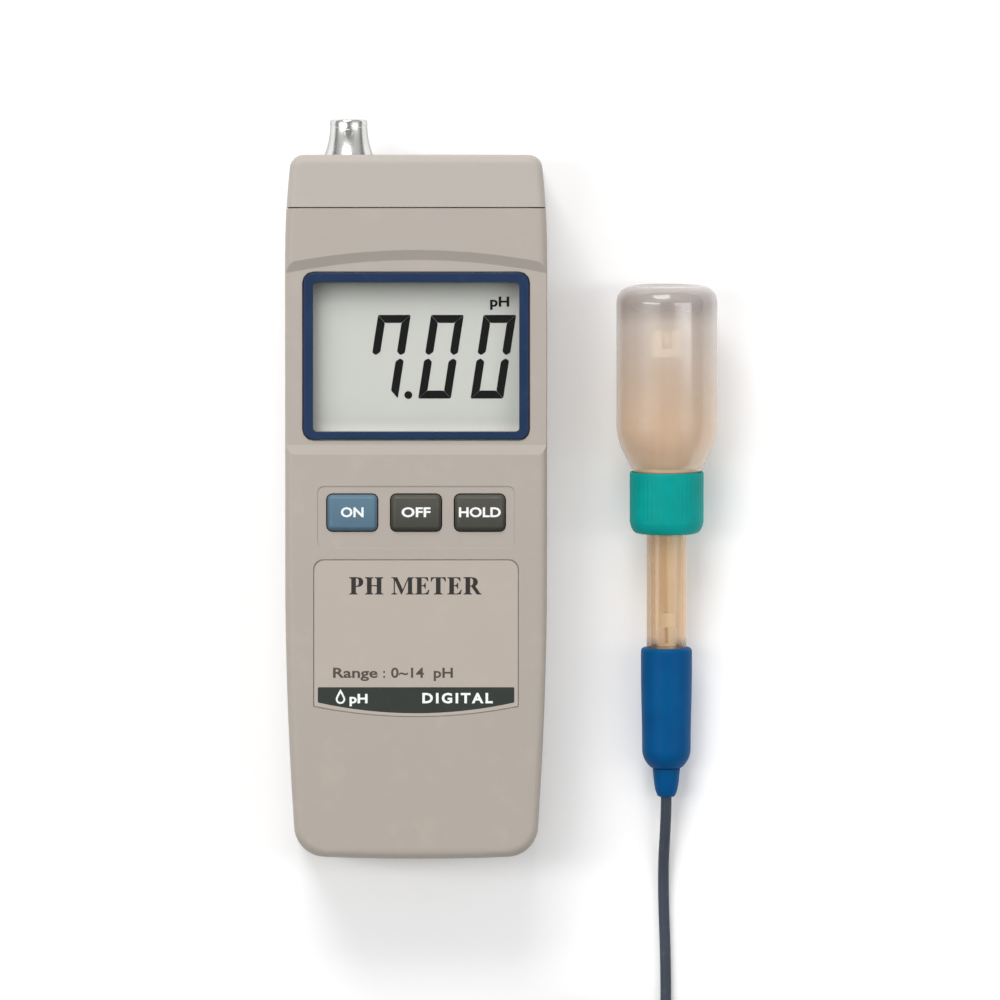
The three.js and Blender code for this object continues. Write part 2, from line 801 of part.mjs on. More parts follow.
const trimmerFace = caseHalfWidth - wall - 1.6;
const trimmerHeadX = caseHalfWidth - 0.9;
['offset', 'slope'].forEach((name, i) => {
  const y = trimmerY[i];
  addNode(
    `trimmer_body_${name}`,
    block(trimmerFace - 5.5, trimmerFace, y - 3.4, y + 3.4, trimmerHeight - 3.9, boardUnder - 0.1),
    finish(0x2f5fa8, 0.45),
  );
  const screw = alongX(y, trimmerHeight, trimmerFace + 0.1, trimmerHeadX, trimmerScrewRadius);
  const slot = block(
    trimmerHeadX - 0.8, trimmerHeadX + 1, y - 0.25, y + 0.25, trimmerHeight - 3, trimmerHeight + 3,
  );
  addNode(`trimmer_screw_${name}`, cut(screw, slot), finish(brass, 0.35, 0.85));
});

// ---------- Electrode ----------
const neckRadius = barrelRadius + neckClearance + neckWall;
const capRadius = neckRadius + running + capWall;
const shoulderY = capTopY + shoulderAboveCap;

// The bottle is fatter than the handle, so the electrode lies at a slight tilt on the two.
const guardRadius = barrelRadius - guardInset;
const handleRadius = barrelRadius + handleWall;
const handleLowRadius = handleRadius - handleStep;
const handleEndY = handleTopY - handleLength;
const handleRestY = handleEndY + 4;
const tilt = Math.atan((bottleRadius - handleLowRadius) / (shoulderY - handleRestY));
const axisHeight = bottleRadius * Math.cos(tilt) - shoulderY * Math.sin(tilt) + 0.05;
probe.position.set(probeX, 0, axisHeight);
probe.rotation.x = tilt;
const amber = 0xcca983;

const guardStartY = tipY - guardLength;
addNode(
  'electrode_barrel',
  ring(barrelRadius - barrelWall, barrelRadius, handleTopY - 9, guardStartY, 36),
  finish(amber, 0.3, 0, 0.6),
  probe,
);

function tipGuard() {
  const crown = turned([
    [stemRadius + 0.3, guardStartY + 0.3], [guardRadius, guardStartY + 0.3], [guardRadius, tipY - 0.6],
    [guardRadius - 0.6, tipY], [guardRadius - 0.9, tipY], [guardRadius - 0.9, guardStartY + 2],
    [stemRadius + 0.3, guardStartY + 2], [stemRadius + 0.3, guardStartY + 0.3],
  ], 24);
  const gap = 1.3;
  return cut(
    crown,
    block(-gap, gap, guardStartY + 2.6, tipY + 1, -9, 9),
    block(-9, 9, guardStartY + 2.6, tipY + 1, -gap, gap),
  );
}

addNode('tip_guard', tipGuard(), finish(0xe6c8a8, 0.5), probe);

// A glass tube blown to a thin bulb at the tip and open at its rear end.
function glassStem() {
  const bulbY = guardStartY + 3.9;
  const bulbRadius = 2.8;
  const stemEndY = handleTopY + 9.3;
  const outer = arc(0, bulbY, bulbRadius, -48, 90, 6).map((p) => [Math.max(p.x, 0), p.y]);
  const inner = arc(0, bulbY, bulbRadius - 0.3, 90, -48, 6).map((p) => [Math.max(p.x, 0), p.y]);
  outer[outer.length - 1][0] = 0;
  inner[0][0] = 0;
  return turned([
    ...outer.reverse(),
    [stemRadius, bulbY - 2.4],
    [stemRadius, stemEndY],
    [stemRadius - stemWall, stemEndY],
    [stemRadius - stemWall, bulbY - 2.4],
    ...inner.reverse(),
  ], 16);
}

addNode('glass_stem', glassStem(), finish(0xe8d8bc, 0.05, 0, 0.45), probe);
addNode(
  'stem_plug',
  ring(0.7, stemRadius, handleTopY + 5.3, handleTopY + 9, 20),
  finish(0xf0e4cc, 0.5),
  probe,
);
addNode(
  'inner_wire',
  turned([[0, handleTopY - 8], [0.4, handleTopY - 8], [0.4, guardStartY - 2], [0, guardStartY - 2]], 8),
  finish(0x6d5a48, 0.4, 0.6),
  probe,
);
addNode(
  'wire_collar',
  ring(0.7, 2.7, handleTopY - 1.6, handleTopY + 1.2, 20),
  finish(0xdcd2bc, 0.6),
  probe,
);
addNode(
  'barrel_seal',
  ring(2.9, barrelRadius - barrelWall - 0.15, handleTopY - 2.4, handleTopY + 0.6, 24),
  finish(0x4a4a4c, 0.7),
  probe,
);

function handle() {
  const boreRadius = barrelRadius + 0.1;
  return turned([
    [boreRadius, handleTopY], [boreRadius, handleTopY - 9.4], [1.6, handleTopY - 9.4], [1.6, handleEndY],
    [3.9, handleEndY], [5.2, handleEndY + 1.4], [6, handleEndY + 3], [handleLowRadius, handleEndY + 4.5],
    [handleLowRadius, handleEndY + 13.6], [handleRadius, handleEndY + 15.2], [handleRadius, handleTopY - 1],
    [handleRadius - 0.5, handleTopY], [boreRadius, handleTopY],
  ], 32);
}

addNode('handle', handle(), finish(0x02507f, 0.45), probe);

const reliefStartY = handleEndY - 0.1;
const reliefEndY = reliefStartY - reliefLength;
addNode(
  'strain_relief',
  turned([
    [1.5, reliefStartY], [1.5, reliefEndY], [2.3, reliefEndY], [3.1, reliefEndY + 2.6],
    [3.55, reliefStartY], [1.5, reliefStartY],
  ], 24),
  finish(0x02507f, 0.5),
  probe,
);

// ---------- Storage bottle ----------
const capEndY = capTopY - capLength;
const neckEndY = capEndY + capFloor + 2.2;
const inner = bottleRadius - bottleWall;

function screwCap() {
  return turned([
    [barrelRadius + 0.3, capEndY], [capRadius - 0.9, capEndY], [capRadius - 0.2, capEndY + 1.6],
    [capRadius, capEndY + 3], [capRadius, capTopY - 0.3], [capRadius - 0.3, capTopY],
    [neckRadius + running, capTopY], [neckRadius + running, capEndY + capFloor],
    [barrelRadius + 0.3, capEndY + capFloor], [barrelRadius + 0.3, capEndY],
  ], 32);
}

addNode('bottle_cap', screwCap(), finish(0x0a9b90, 0.5), probe);
addNode(
  'cap_seal',
  ring(barrelRadius + 0.08, neckRadius - 0.2, capEndY + capFloor + 0.1, neckEndY - 0.2, 32),
  finish(0x3b3b3d, 0.7),
  probe,
);

function bottle() {
  const neckTopY = capTopY + 0.25;
  return turned([
    [0, bottleTopY], [bottleRadius - 3.4, bottleTopY - 0.1], [bottleRadius - 1.3, bottleTopY - 1.3],
    [bottleRadius - 0.5, bottleTopY - 2.4], [bottleRadius, bottleTopY - 4.2], [bottleRadius, shoulderY],
    [bottleRadius - 0.45, shoulderY - 1.6], [bottleRadius - 1.35, shoulderY - 3.8],
    [bottleRadius - 2.6, shoulderY - 5.5], [bottleRadius - 3.5, shoulderY - 6.5],
    [neckRadius + 0.9, neckTopY + 0.9], [neckRadius + 0.9, neckTopY], [neckRadius, neckTopY],
    [neckRadius, neckEndY], [neckRadius - neckWall, neckEndY], [neckRadius - neckWall, shoulderY - 6.2],
    [inner - 2.2, shoulderY - 3.8], [inner - 0.5, shoulderY - 1.2], [inner, shoulderY + 0.6],
    [inner, bottleTopY - 4.6], [inner - 1.2, bottleTopY - 2.2], [inner - 3, bottleTopY - bottleWall],
    [0, bottleTopY - bottleWall],
  ], 36);
}

addNode('storage_bottle', bottle(), finish(0xd8c4b4, 0.35, 0, 0.5), probe);

// The liquid lies level in the tilted bottle, round the electrode's tip.
function solution() {
  const radius = inner - 0.35;
  const low = shoulderY + 1;
  const high = bottleTopY - 5;
  const plain = new THREE.CylinderGeometry(radius, radius, high - low, 40);
  plain.translate(0, (low + high) / 2, 0);
  const barrelSpace = new THREE.CylinderGeometry(barrelRadius + 0.4, barrelRadius + 0.4, 80, 32);
  barrelSpace.translate(0, tipY + 1 - 40, 0);
  const air = new THREE.BoxGeometry(80, 300, 60);
  air.translate(0, 0, 30);
  air.rotateX(-tilt);
  // the air begins at the liquid's level, measured from the axis where it crosses the frame's origin
  air.translate(0, 0, (solutionLevel - axisHeight) / Math.cos(tilt));
  return cut(solid(plain), solid(barrelSpace), solid(air));
}

addNode('storage_solution', solution(), finish(0xe6d8c6, 0.05, 0, 0.4), probe);

// ---------- Cable ----------
// Straight out of the strain relief, down to the table, along it, and into a flat coil.
const reliefEnd = new THREE.Vector3(0, reliefEndY, 0);
probe.updateMatrix();
reliefEnd.applyMatrix4(probe.matrix);
const layerHeight = cableRadius;
const cableRoute = [
  [probeX, reliefEnd.y - faceGap, reliefEnd.z],
  [probeX - 0.1, -79, 4.85],
  [probeX - 0.3, -84, 4.2],
  [probeX - 0.6, -90, 3],
  [probeX - 0.7, -96, 1.95],
  [probeX - 0.6, -103, layerHeight + 0.05],
  [probeX - 0.3, -112, layerHeight + 0.02],
  [probeX - 0.1, -122, layerHeight + 0.02],
  [probeX - 0.1, -132, layerHeight + 0.02],
];
const cableSides = 8;
const coilOuterRadius = coilInnerRadius + coilPitch * coilTurnsOut;
const coilWidth = coilOuterRadius + cableRadius + 0.2;
cableRoute.push([probeX - 0.2, coilCentre[1] + 12.5, layerHeight + 0.02]);
addNode('probe_cable', tube(cableRoute, cableRadius, cableSides, 22), finish(0x40464f, 0.6));

const coilHeight = 2 * cableRadius + coilPitch + 0.1;
const coilRing = ring(coilInnerRadius - cableRadius - 0.2, coilWidth, 0, coilHeight, 48);
addNode(
  'probe_cable_coil',
  coilRing.rotate([90, 0, 0]).translate([coilCentre[0], coilCentre[1], coilHeight]),
  finish(0x40464f, 0.6),
);

// The end leaves the coil's upper layer, crosses over the incoming cable and turns to the plug.
const plugHeight = collarRadius + 0.05;
const tailY = coilCentre[1] + coilInnerRadius + coilPitch * (coilTurnsOut - 0.25);
const tailRoute = [
  [coilCentre[0] + 13.6, tailY, 4.45],
  [coilCentre[0] + 18, tailY, 4.7],
  [64.5, tailY, 4.9],
  [68.8, -132.6, 5.4],
  [72.6, -135, 6.1],
  [75.6, -138.8, 6.8],
  [76.8, -143.2, 7.2],
  [plugX, plugBackY + faceGap, plugHeight],
];
addNode('probe_cable_tail', tube(tailRoute, cableRadius, cableSides, 12), finish(0x40464f, 0.6));

// ---------- Plug ----------
const bootEndY = plugBackY - bootLength;
const plugNeckY = bootEndY - 5.6;
const collarBackY = plugNeckY - 0.3;
const collarFrontY = collarBackY - collarLength;
const sleeveRadius = jackBore - 0.05;

function onPlugAxis(made) {
  return moved(made, plugX, 0, plugHeight);
}

addNode(
  'plug_boot',
  onPlugAxis(turned([
    [0, plugBackY], [2.2, plugBackY], [2.6, plugBackY - 4], [4.2, bootEndY + 3], [4.2, bootEndY],
    [0, bootEndY],
  ], 24)),
  finish(0x1c1d20, 0.6),
);
addNode(
  'plug_body',
  onPlugAxis(turned([
    [0, bootEndY - 0.1], [5.5, bootEndY - 0.1], [5.6, plugNeckY], [4.4, plugNeckY],
    [4.4, collarBackY - 3.5], [4.75, collarBackY - 3.5], [4.75, collarBackY - 4.6],
    [sleeveRadius, collarBackY - 4.6], [sleeveRadius, collarFrontY + 0.8], [3.4, collarFrontY + 0.8],
    [3.4, collarBackY - 4.6], [0, collarBackY - 4.6],
  ], 24)),
  finish(nickel, 0.3, 0.95),
);
addNode(
  'plug_collar',
  onPlugAxis(turned([
    [4.55, collarBackY], [collarRadius - 0.6, collarBackY], [collarRadius, collarBackY - 0.8],
    [collarRadius, collarFrontY + 0.5], [collarRadius - 0.5, collarFrontY],
    [jackRadius + 0.15, collarFrontY], [jackRadius + 0.15, collarBackY - 3.2],
    [4.55, collarBackY - 3.2], [4.55, collarBackY],
  ], 32)),
  finish(nickel, 0.25, 0.95),
);
addNode(
  'plug_insulator',
  onPlugAxis(ring(0.75, 2.3, collarBackY - 10, collarBackY - 4.9, 20)),
  finish(0xece9e0, 0.5),
);
addNode(
  'plug_pin',
  onPlugAxis(turned([
    [0, collarFrontY + 1.6], [0.65, collarFrontY + 2.2], [0.65, collarBackY - 4.9], [0, collarBackY - 4.9],
  ], 12)),
  finish(brass, 0.3, 0.9),
);

export default phMeter;
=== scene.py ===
import json
import math

import bmesh
import bpy
from mathutils import Matrix, Vector

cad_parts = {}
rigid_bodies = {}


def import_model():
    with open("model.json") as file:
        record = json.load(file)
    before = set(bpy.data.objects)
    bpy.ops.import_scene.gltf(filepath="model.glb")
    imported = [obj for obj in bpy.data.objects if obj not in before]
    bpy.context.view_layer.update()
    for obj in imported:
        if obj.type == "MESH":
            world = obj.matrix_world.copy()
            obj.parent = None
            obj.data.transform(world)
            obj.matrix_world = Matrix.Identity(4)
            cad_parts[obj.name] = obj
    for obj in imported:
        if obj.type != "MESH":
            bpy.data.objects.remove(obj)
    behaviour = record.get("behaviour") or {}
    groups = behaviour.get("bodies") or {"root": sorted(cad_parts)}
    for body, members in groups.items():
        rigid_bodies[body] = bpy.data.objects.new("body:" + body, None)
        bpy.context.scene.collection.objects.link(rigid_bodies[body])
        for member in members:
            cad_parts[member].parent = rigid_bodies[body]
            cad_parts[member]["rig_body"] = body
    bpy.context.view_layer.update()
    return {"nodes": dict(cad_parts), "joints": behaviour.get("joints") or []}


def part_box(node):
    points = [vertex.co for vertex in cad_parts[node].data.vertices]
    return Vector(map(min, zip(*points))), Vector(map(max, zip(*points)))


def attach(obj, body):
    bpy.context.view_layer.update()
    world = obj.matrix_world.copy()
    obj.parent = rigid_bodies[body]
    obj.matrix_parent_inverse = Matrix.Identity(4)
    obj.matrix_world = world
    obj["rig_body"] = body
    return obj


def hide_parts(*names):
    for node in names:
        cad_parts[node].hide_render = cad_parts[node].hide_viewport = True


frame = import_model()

cad_nodes = frame["nodes"]
mm = 0.001

# The camera hangs three metres above the table with a long lens, so the meter and its
# electrode are seen square on. It is centred between the two.
frame_width = 256.8 * mm
camera_height = 3000 * mm
middle_height = 16 * mm
camera_data = bpy.data.cameras.new("camera")
camera_data.sensor_width = 36
camera_data.lens = camera_data.sensor_width * (camera_height - middle_height) / frame_width
view_middle = (21.44 * mm, 1.73 * mm)


def linked(name, data):
    """A new object with this data, in the scene."""
    item = bpy.data.objects.new(name, data)
    bpy.context.scene.collection.objects.link(item)
    return item


camera = linked("camera", camera_data)
camera.location = (*view_middle, camera_height)
bpy.context.scene.camera = camera


# Probe cable: one metre of thin coaxial lead in a soft blue-grey PVC jacket. It leaves the
# electrode's strain relief, runs along the table and is wound in a flat two-layer coil, and
# its end crosses over itself to the bayonet plug.
class Value:
    """A shader socket that turns sums written in Python into Math nodes."""

    def __init__(self, finish, socket):
        self.finish = finish
        self.socket = socket

    def math(self, operation, *terms):
        return self.finish.add("Math", {"operation": operation}, dict(enumerate(terms)))

    def __add__(self, other):
        return self.math("ADD", self, other)

    def __sub__(self, other):
        return self.math("SUBTRACT", self, other)

    def __rsub__(self, other):
        return self.math("SUBTRACT", other, self)

    def __mul__(self, other):
        return self.math("MULTIPLY", self, other)

    def __gt__(self, other):
        return self.math("GREATER_THAN", self, other)

    def __abs__(self):
        return self.math("ABSOLUTE", self)

    __radd__ = __add__
    __rmul__ = __mul__


class Finish:
    """A surface finish: a Principled shader and the nodes that drive it."""

    def __init__(self, name, sockets):
        self.material = bpy.data.materials.new(name)
        self.material.use_nodes = True
        self.tree = self.material.node_tree
        self.shader = self.tree.nodes["Principled BSDF"]
        self.place = self.add("TexCoord", output="Object")
        self.set(sockets)

    def join(self, socket, value):
        if isinstance(value, Value):
            self.tree.links.new(value.socket, socket)
        else:
            socket.default_value = value

    def set(self, sockets):
        for name, value in sockets.items():
            self.join(self.shader.inputs[name], value)

    def add(self, kind, settings=None, sockets=None, output=0):
        node = self.tree.nodes.new("ShaderNode" + kind)
        for name, value in (settings or {}).items():
            setattr(node, name, value)
        for name, value in (sockets or {}).items():
            self.join(node.inputs[name], value)
        return Value(self, node.outputs[output])

    def spread(self, scale, turn=(0, 0, 0)):
        """The place on the piece, stretched and turned for a pattern with a direction."""
        return self.add("Mapping", None, {"Vector": self.place, "Scale": scale, "Rotation": turn})

    def noise(self, size, detail=2, roughness=0.5, place=None):
        """Soft noise from 0 to 1 with patches about this wide."""
        return self.add("TexNoise", None, {
            "Vector": place or self.place, "Scale": 1 / size,
            "Detail": detail, "Roughness": roughness,
        }, "Fac")

    def along(self, axis):
        """One coordinate of the place, in metres."""
        return self.add("SeparateXYZ", None, {0: self.place}, axis)

    def fade(self, value, low, high, start=0, end=1):
        """A value that goes smoothly from start at low to end at high."""
        return self.add("MapRange", {"interpolation_type": "SMOOTHSTEP"}, {
            "Value": value, "From Min": low, "From Max": high, "To Min": start, "To Max": end,
        })

    def facing(self):
        """0 where the surface is seen square on, 1 where it is seen edge on."""
        return self.add("LayerWeight", None, {"Blend": 0.5}, "Facing")

    def mix(self, share, first, second):
        """The first colour, with this share of the second one."""
        factor, one, two, mixed = 0, 6, 7, 2
        return self.add("Mix", {"data_type": "RGBA"}, {factor: share, one: first, two: second},
                        mixed)

    def bump(self, height, depth, below=None):
        """A relief this deep, on top of the one below it."""
        sockets = {"Height": height, "Distance": depth, "Strength": 1}
        if below:
            sockets["Normal"] = below
        return self.add("Bump", None, sockets)


def shade(red, green, blue):
    """A colour from its screen values, 0 to 255."""
    def linear(value):
        share = value / 255
        return share / 12.92 if share <= 0.04045 else ((share + 0.055) / 1.055) ** 2.4
    return (linear(red), linear(green), linear(blue), 1)


def worn_finish(name, light, dark, cloud_size, skin, rough, rub, gloss=0.5):
    """Moulded plastic or rubber: two close shades in clouds, a fine skin and rubbed patches.
    Skin is (size, depth, detail), rough is (least, added by cloud, added by rub), and rub is
    (size, from, to, share, colour)."""
    finish = Finish(name, {"Specular IOR Level": gloss})
    skin_size, skin_depth, skin_detail = skin
    least, cloudy, rubbed = rough
    rub_size, rub_from, rub_to, rub_share, rub_colour = rub
    cloud = finish.noise(cloud_size, 3)
    worn = finish.fade(finish.noise(rub_size, 4, 0.7), rub_from, rub_to)
    finish.set({
        "Base Color": finish.mix(worn * rub_share, finish.mix(cloud, dark, light), rub_colour),
        "Roughness": least + cloudy * cloud + rubbed * worn,
        "Normal": finish.bump(finish.noise(skin_size, skin_detail, 0.6), skin_depth),
    })
    return finish


jacket_finish = worn_finish("cable_pvc", shade(57, 66, 81), shade(42, 50, 62), 9 * mm,
                            (0.16 * mm, 0.02 * mm, 3), (0.42, 0.2, 0.12),
                            (2.2 * mm, 0.56, 0.74, 0.22, shade(126, 128, 132)), 0.45)


cable_radius = 1.4 * mm
coil_x, coil_y = 41.5, -153.5
coil_pitch = 2.9
coil_inside = 10.9
turns_in = 4
turns_out = turns_in - 0.25
coil_outside = coil_inside + coil_pitch * turns_in
table_layer = 1.42
low_layer = 1.75
high_layer = 4.65
relief_low, relief_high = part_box("strain_relief")
boot_low, boot_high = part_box("plug_boot")
cable_start = Vector(((relief_low.x + relief_high.x) / 2 / mm, relief_low.y / mm, 5.32))
cable_points = [
    tuple(cable_start + Vector((0, 0.6, 0.05))),
    (64.2, -79, 4.85), (64, -84, 4.2), (63.7, -90, 3), (63.6, -96, 1.95), (63.7, -103, 1.45),
    (64, -112, table_layer), (64.2, -122, table_layer), (64.2, -132, 1.5),
    (64.15, -141, 1.65),
]
steps_a_turn = 16


def coil_point(turns, reach, height):
    """A point of the winding, this many turns on and this far from the coil's middle."""
    around = -2 * math.pi * turns
    return (coil_x + reach * math.cos(around), coil_y + reach * math.sin(around), height)


for step in range(turns_in * steps_a_turn):
    part = step / steps_a_turn
    cable_points.append(coil_point(part, coil_outside - coil_pitch * part, low_layer))
for step in range(steps_a_turn):
    part = step / steps_a_turn
    height = low_layer + (high_layer - low_layer) * part
    cable_points.append(coil_point(part, coil_inside, height))
for step in range(int(turns_out * steps_a_turn) + 1):
    part = step / steps_a_turn
    cable_points.append(coil_point(part, coil_inside + coil_pitch * part, high_layer))
tail_y = coil_y + coil_inside + coil_pitch * turns_out
cable_points += [
    (coil_x + 6, tail_y, 4.67), (coil_x + 13.6, tail_y, 4.7), (coil_x + 18, tail_y, 4.8),
    (64.5, tail_y, 4.9), (68.8, -132.6, 5.4), (72.6, -135, 6.1), (75.6, -138.8, 6.8),
    (76.8, -143.2, 7.2), (77, boot_high.y / mm + 0.3, 7.25), (77, boot_high.y / mm - 0.8, 7.25),
]
cable_curve = bpy.data.curves.new("probe_lead", "CURVE")
cable_curve.dimensions = "3D"
cable_curve.bevel_depth = cable_radius
cable_curve.bevel_resolution = 5
cable_curve.resolution_u = 4
cable_curve.use_fill_caps = True
spline = cable_curve.splines.new("BEZIER")
spline.bezier_points.add(len(cable_points) - 1)
for point, place in zip(spline.bezier_points, cable_points):
    point.co = Vector(place) * mm
    point.handle_left_type = point.handle_right_type = "AUTO"
probe_lead = linked("probe_lead", cable_curve)
cable_curve.materials.append(jacket_finish.material)
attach(probe_lead, "electrode")
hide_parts("probe_cable", "probe_cable_coil", "probe_cable_tail")


# Case: two injection-moulded ABS shells and an end cap in warm grey beige, with a fine
# spark-eroded grain. The shells meet halfway up, are screwed together from behind, and the
# cap slides over the socket end.
crease = 32


def rounded(shape, geom, size, segments, affect="EDGES"):
    """Breaks edges, or rounds the corners of an outline."""
    bmesh.ops.bevel(shape, geom=geom, offset=size, offset_type="OFFSET", segments=segments,
                    profile=0.5, affect=affect, material=-1, clamp_overlap=True)


def moulded(node, name, edge=0, smooth=crease):
    """A copy of a CAD node with its edges broken, which stands for the node and rides with it."""
    shape = bmesh.new()
    shape.from_mesh(cad_nodes[node].data)
    bmesh.ops.remove_doubles(shape, verts=shape.verts[:], dist=0.001 * mm)
    bmesh.ops.dissolve_limit(shape, angle_limit=math.radians(0.4), verts=shape.verts[:],
                             edges=shape.edges[:])
    if edge:
        rounded(shape, [e for e in shape.edges if e.calc_face_angle(0) > math.radians(crease)],
                edge, 2)
    return placed(shape, name, cad_nodes[node]["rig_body"], [node], smooth)


def placed(shape, name, body, stands_for=(), angle=crease):
    """A finished mesh as a piece, smooth up to this angle, on its body."""
    for face in shape.faces:
        face.smooth = True
    for edge in shape.edges:
        edge.smooth = edge.calc_face_angle(0) < math.radians(angle)
    mesh = bpy.data.meshes.new(name)
    shape.to_mesh(mesh)
    shape.free()
    piece = linked(name, mesh)
    shading = piece.modifiers.new("flat_faces_first", "WEIGHTED_NORMAL")
    shading.keep_sharp = True
    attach(piece, body)
    if stands_for:
        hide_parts(*stands_for)
    return piece


def painted(piece, finish):
    """Puts a finish on a piece in place of what it had."""
    piece.data.materials.clear()
    piece.data.materials.append(finish.material)
    return piece


def beige_finish(name, light, dark, wear=0.5):
    """Grained beige ABS: cloudy colour, spark-eroded grain, specks and rubbed patches, painted lighter
    towards the top.
    """
    finish = Finish(name, {"Specular IOR Level": 0.3})
    cloud = finish.noise(24 * mm, 3)
    patch = finish.fade(finish.noise(7 * mm, 4, 0.6), 0.5, 0.72)
    grain = finish.noise(0.22 * mm, 2, 0.6)
    pits = finish.noise(0.65 * mm, 2)
    speck = finish.fade(finish.noise(0.5 * mm, 2, 0.7), 0.73, 0.8)
    scratch_place = finish.spread((4, 160, 40), (0, 0, math.radians(34)))
    scratch = finish.fade(finish.noise(40 * mm, 3, 0.7, scratch_place), 0.67, 0.72)
    # Painted light: the colour goes from the dark shade at the bottom to the light one at the top, as if
    # lit from above.
    height = finish.along("Y")
    painted_light_from_top = finish.fade(height, -90 * mm, 90 * mm)
    colour = finish.mix(painted_light_from_top, dark, light)
    colour = finish.mix(cloud * 0.28, colour, shade(176, 173, 168))
    colour = finish.mix(patch * 0.1, colour, shade(198, 184, 170))
    colour = finish.mix(speck * 0.22, colour, shade(120, 112, 102))
    finish.set({
        "Base Color": finish.mix(scratch * 0.14 * wear, colour, shade(214, 208, 200)),
        "Roughness": 0.46 + 0.12 * cloud + 0.1 * patch - 0.14 * scratch * wear,
        "Normal": finish.bump(grain, 0.012 * mm,
                              finish.bump(pits, 0.015 * mm,
                                          finish.bump(scratch, -0.004 * mm))),
    })
    return finish


# Each finish's first shade is its painted-lit top, and the second is its painted-shaded bottom.
shell_finish = beige_finish("case_beige", shade(172, 163, 154), shade(168, 159, 149))
cap_finish = beige_finish("end_cap_beige", shade(179, 171, 163), shade(175, 167, 159))
back_finish = beige_finish("case_beige_back", shade(178, 169, 159), shade(168, 160, 150), 1.6)
painted(moulded("front_shell", "front_moulding", 0.18 * mm, smooth=20),
        shell_finish)
painted(moulded("back_shell", "back_moulding", 0.15 * mm), back_finish)
painted(moulded("end_cap", "socket_end_cap", 0.18 * mm), cap_finish)
painted(moulded("battery_cover", "battery_door", 0.15 * mm), back_finish)


# Case screws: four zinc-plated cross-head screws, sunk in the back and driven into posts of
# the front shell.
def metal_finish(name, light, dark, roughness, tarnish=shade(120, 112, 98), streak=(1, 14, 1)):
    """Bare or plated metal: turning marks, small dents and a little tarnish."""
    finish = Finish(name, {"Metallic": 1})
    lines = finish.noise(2.4 * mm, 4, 0.6, finish.spread(streak))
    cloud = finish.noise(3 * mm, 3)
    stain = finish.fade(finish.noise(1.6 * mm, 4, 0.7), 0.58, 0.75)
    colour = finish.mix(cloud, dark, light)
    finish.set({
        "Base Color": finish.mix(stain * 0.3, colour, tarnish),
        "Roughness": roughness + 0.14 * lines + 0.15 * stain,
        "Normal": finish.bump(lines, 0.008 * mm, finish.bump(cloud, 0.006 * mm)),
    })
    return finish


zinc_finish = metal_finish("zinc_steel", shade(196, 198, 200), shade(158, 160, 162), 0.28,
                           shade(140, 128, 104))
for number in range(1, 5):
    painted(moulded(f"case_screw_{number}", f"cross_head_screw_{number}", 0.06 * mm), zinc_finish)


# Display window: a dark blue moulded frame round a clear acrylic pane, pressed into the
# front shell. The frame is satin, with a softly rounded edge, and the pane has finger smears.
blue_finish = worn_finish("bezel_blue", shade(30, 53, 86), shade(22, 42, 72), 12 * mm,
                          (0.3 * mm, 0.012 * mm, 2), (0.34, 0.16, 0.1),
                          (3 * mm, 0.58, 0.74, 0.12, shade(62, 84, 122)), 0.2)
painted(moulded("display_bezel", "display_frame", 0.4 * mm), blue_finish)


pane_finish = Finish("clear_lens", {})
behind = pane_finish.add("BsdfTransparent", None, {"Color": (0.97, 0.98, 0.97, 1)})
smear = pane_finish.fade(pane_finish.noise(14 * mm, 5, 0.65), 0.45, 0.8)
mirror = pane_finish.add("BsdfGlossy", None, {"Color": (1, 1, 1, 1),
                                              "Roughness": 0.03 + 0.02 * smear})
mirror_share = pane_finish.fade(pane_finish.facing(), 0.3, 1, 0.03, 0.5)
pane = pane_finish.add("MixShader", None, {0: mirror_share, 1: behind, 2: mirror})
pane_finish.join(pane_finish.tree.nodes["Material Output"].inputs["Surface"], pane)
pane_finish.tree.nodes.remove(pane_finish.shader)
painted(moulded("display_lens", "clear_window", 0.12 * mm), pane_finish)


# Liquid crystal display: a grey-green reflective glass cell on a black holder, joined to the
# board by two rubber contact strips. It shows 7.00 and the unit.
cell_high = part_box("lcd_glass")[1]
cell_finish = Finish("lcd_grey", {"Specular IOR Level": 0.1})
cell_fibre = cell_finish.noise(0.12 * mm, 2, 0.7)
cell_cloud = cell_finish.noise(16 * mm, 3)
cell_across, cell_up = cell_finish.along("X"), cell_finish.along("Y")
window_low, window_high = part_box("display_lens")
# Painted shade and light: the frame's shadow is painted along the cell's top and left edges, and painted
# light brightens the cell along its foot.
top_shadow = cell_finish.fade(cell_up, window_high.y - 6.5 * mm, window_high.y - 0.5 * mm)
left_shadow = cell_finish.fade(cell_across, window_low.x + 4.5 * mm, window_low.x + 0.5 * mm)
foot_light = cell_finish.fade(cell_up, window_low.y + 5 * mm, window_low.y + 1 * mm)
cell_colour = cell_finish.mix(cell_cloud, shade(211, 210, 207), shade(216, 213, 211))
cell_colour = cell_finish.mix(foot_light, cell_colour, shade(236, 234, 230))
cell_colour = cell_finish.mix(top_shadow, cell_colour, shade(108, 109, 105))
cell_finish.set({
    "Base Color": cell_finish.mix(left_shadow * 0.65, cell_colour, shade(136, 138, 132)),
    "Roughness": 0.62 + 0.1 * cell_cloud,
    "Normal": cell_finish.bump(cell_fibre, 0.006 * mm),
})
painted(moulded("lcd_glass", "lcd_cell", 0.1 * mm), cell_finish)


def raised(shape, faces, height):
    """Pulls faces straight up, and gives the faces that end on top."""
    pulled = bmesh.ops.extrude_face_region(shape, geom=faces)["geom"]
    bmesh.ops.translate(shape, vec=(0, 0, height),
                        verts=[v for v in pulled if isinstance(v, bmesh.types.BMVert)])
    return [f for f in pulled if isinstance(f, bmesh.types.BMFace)]


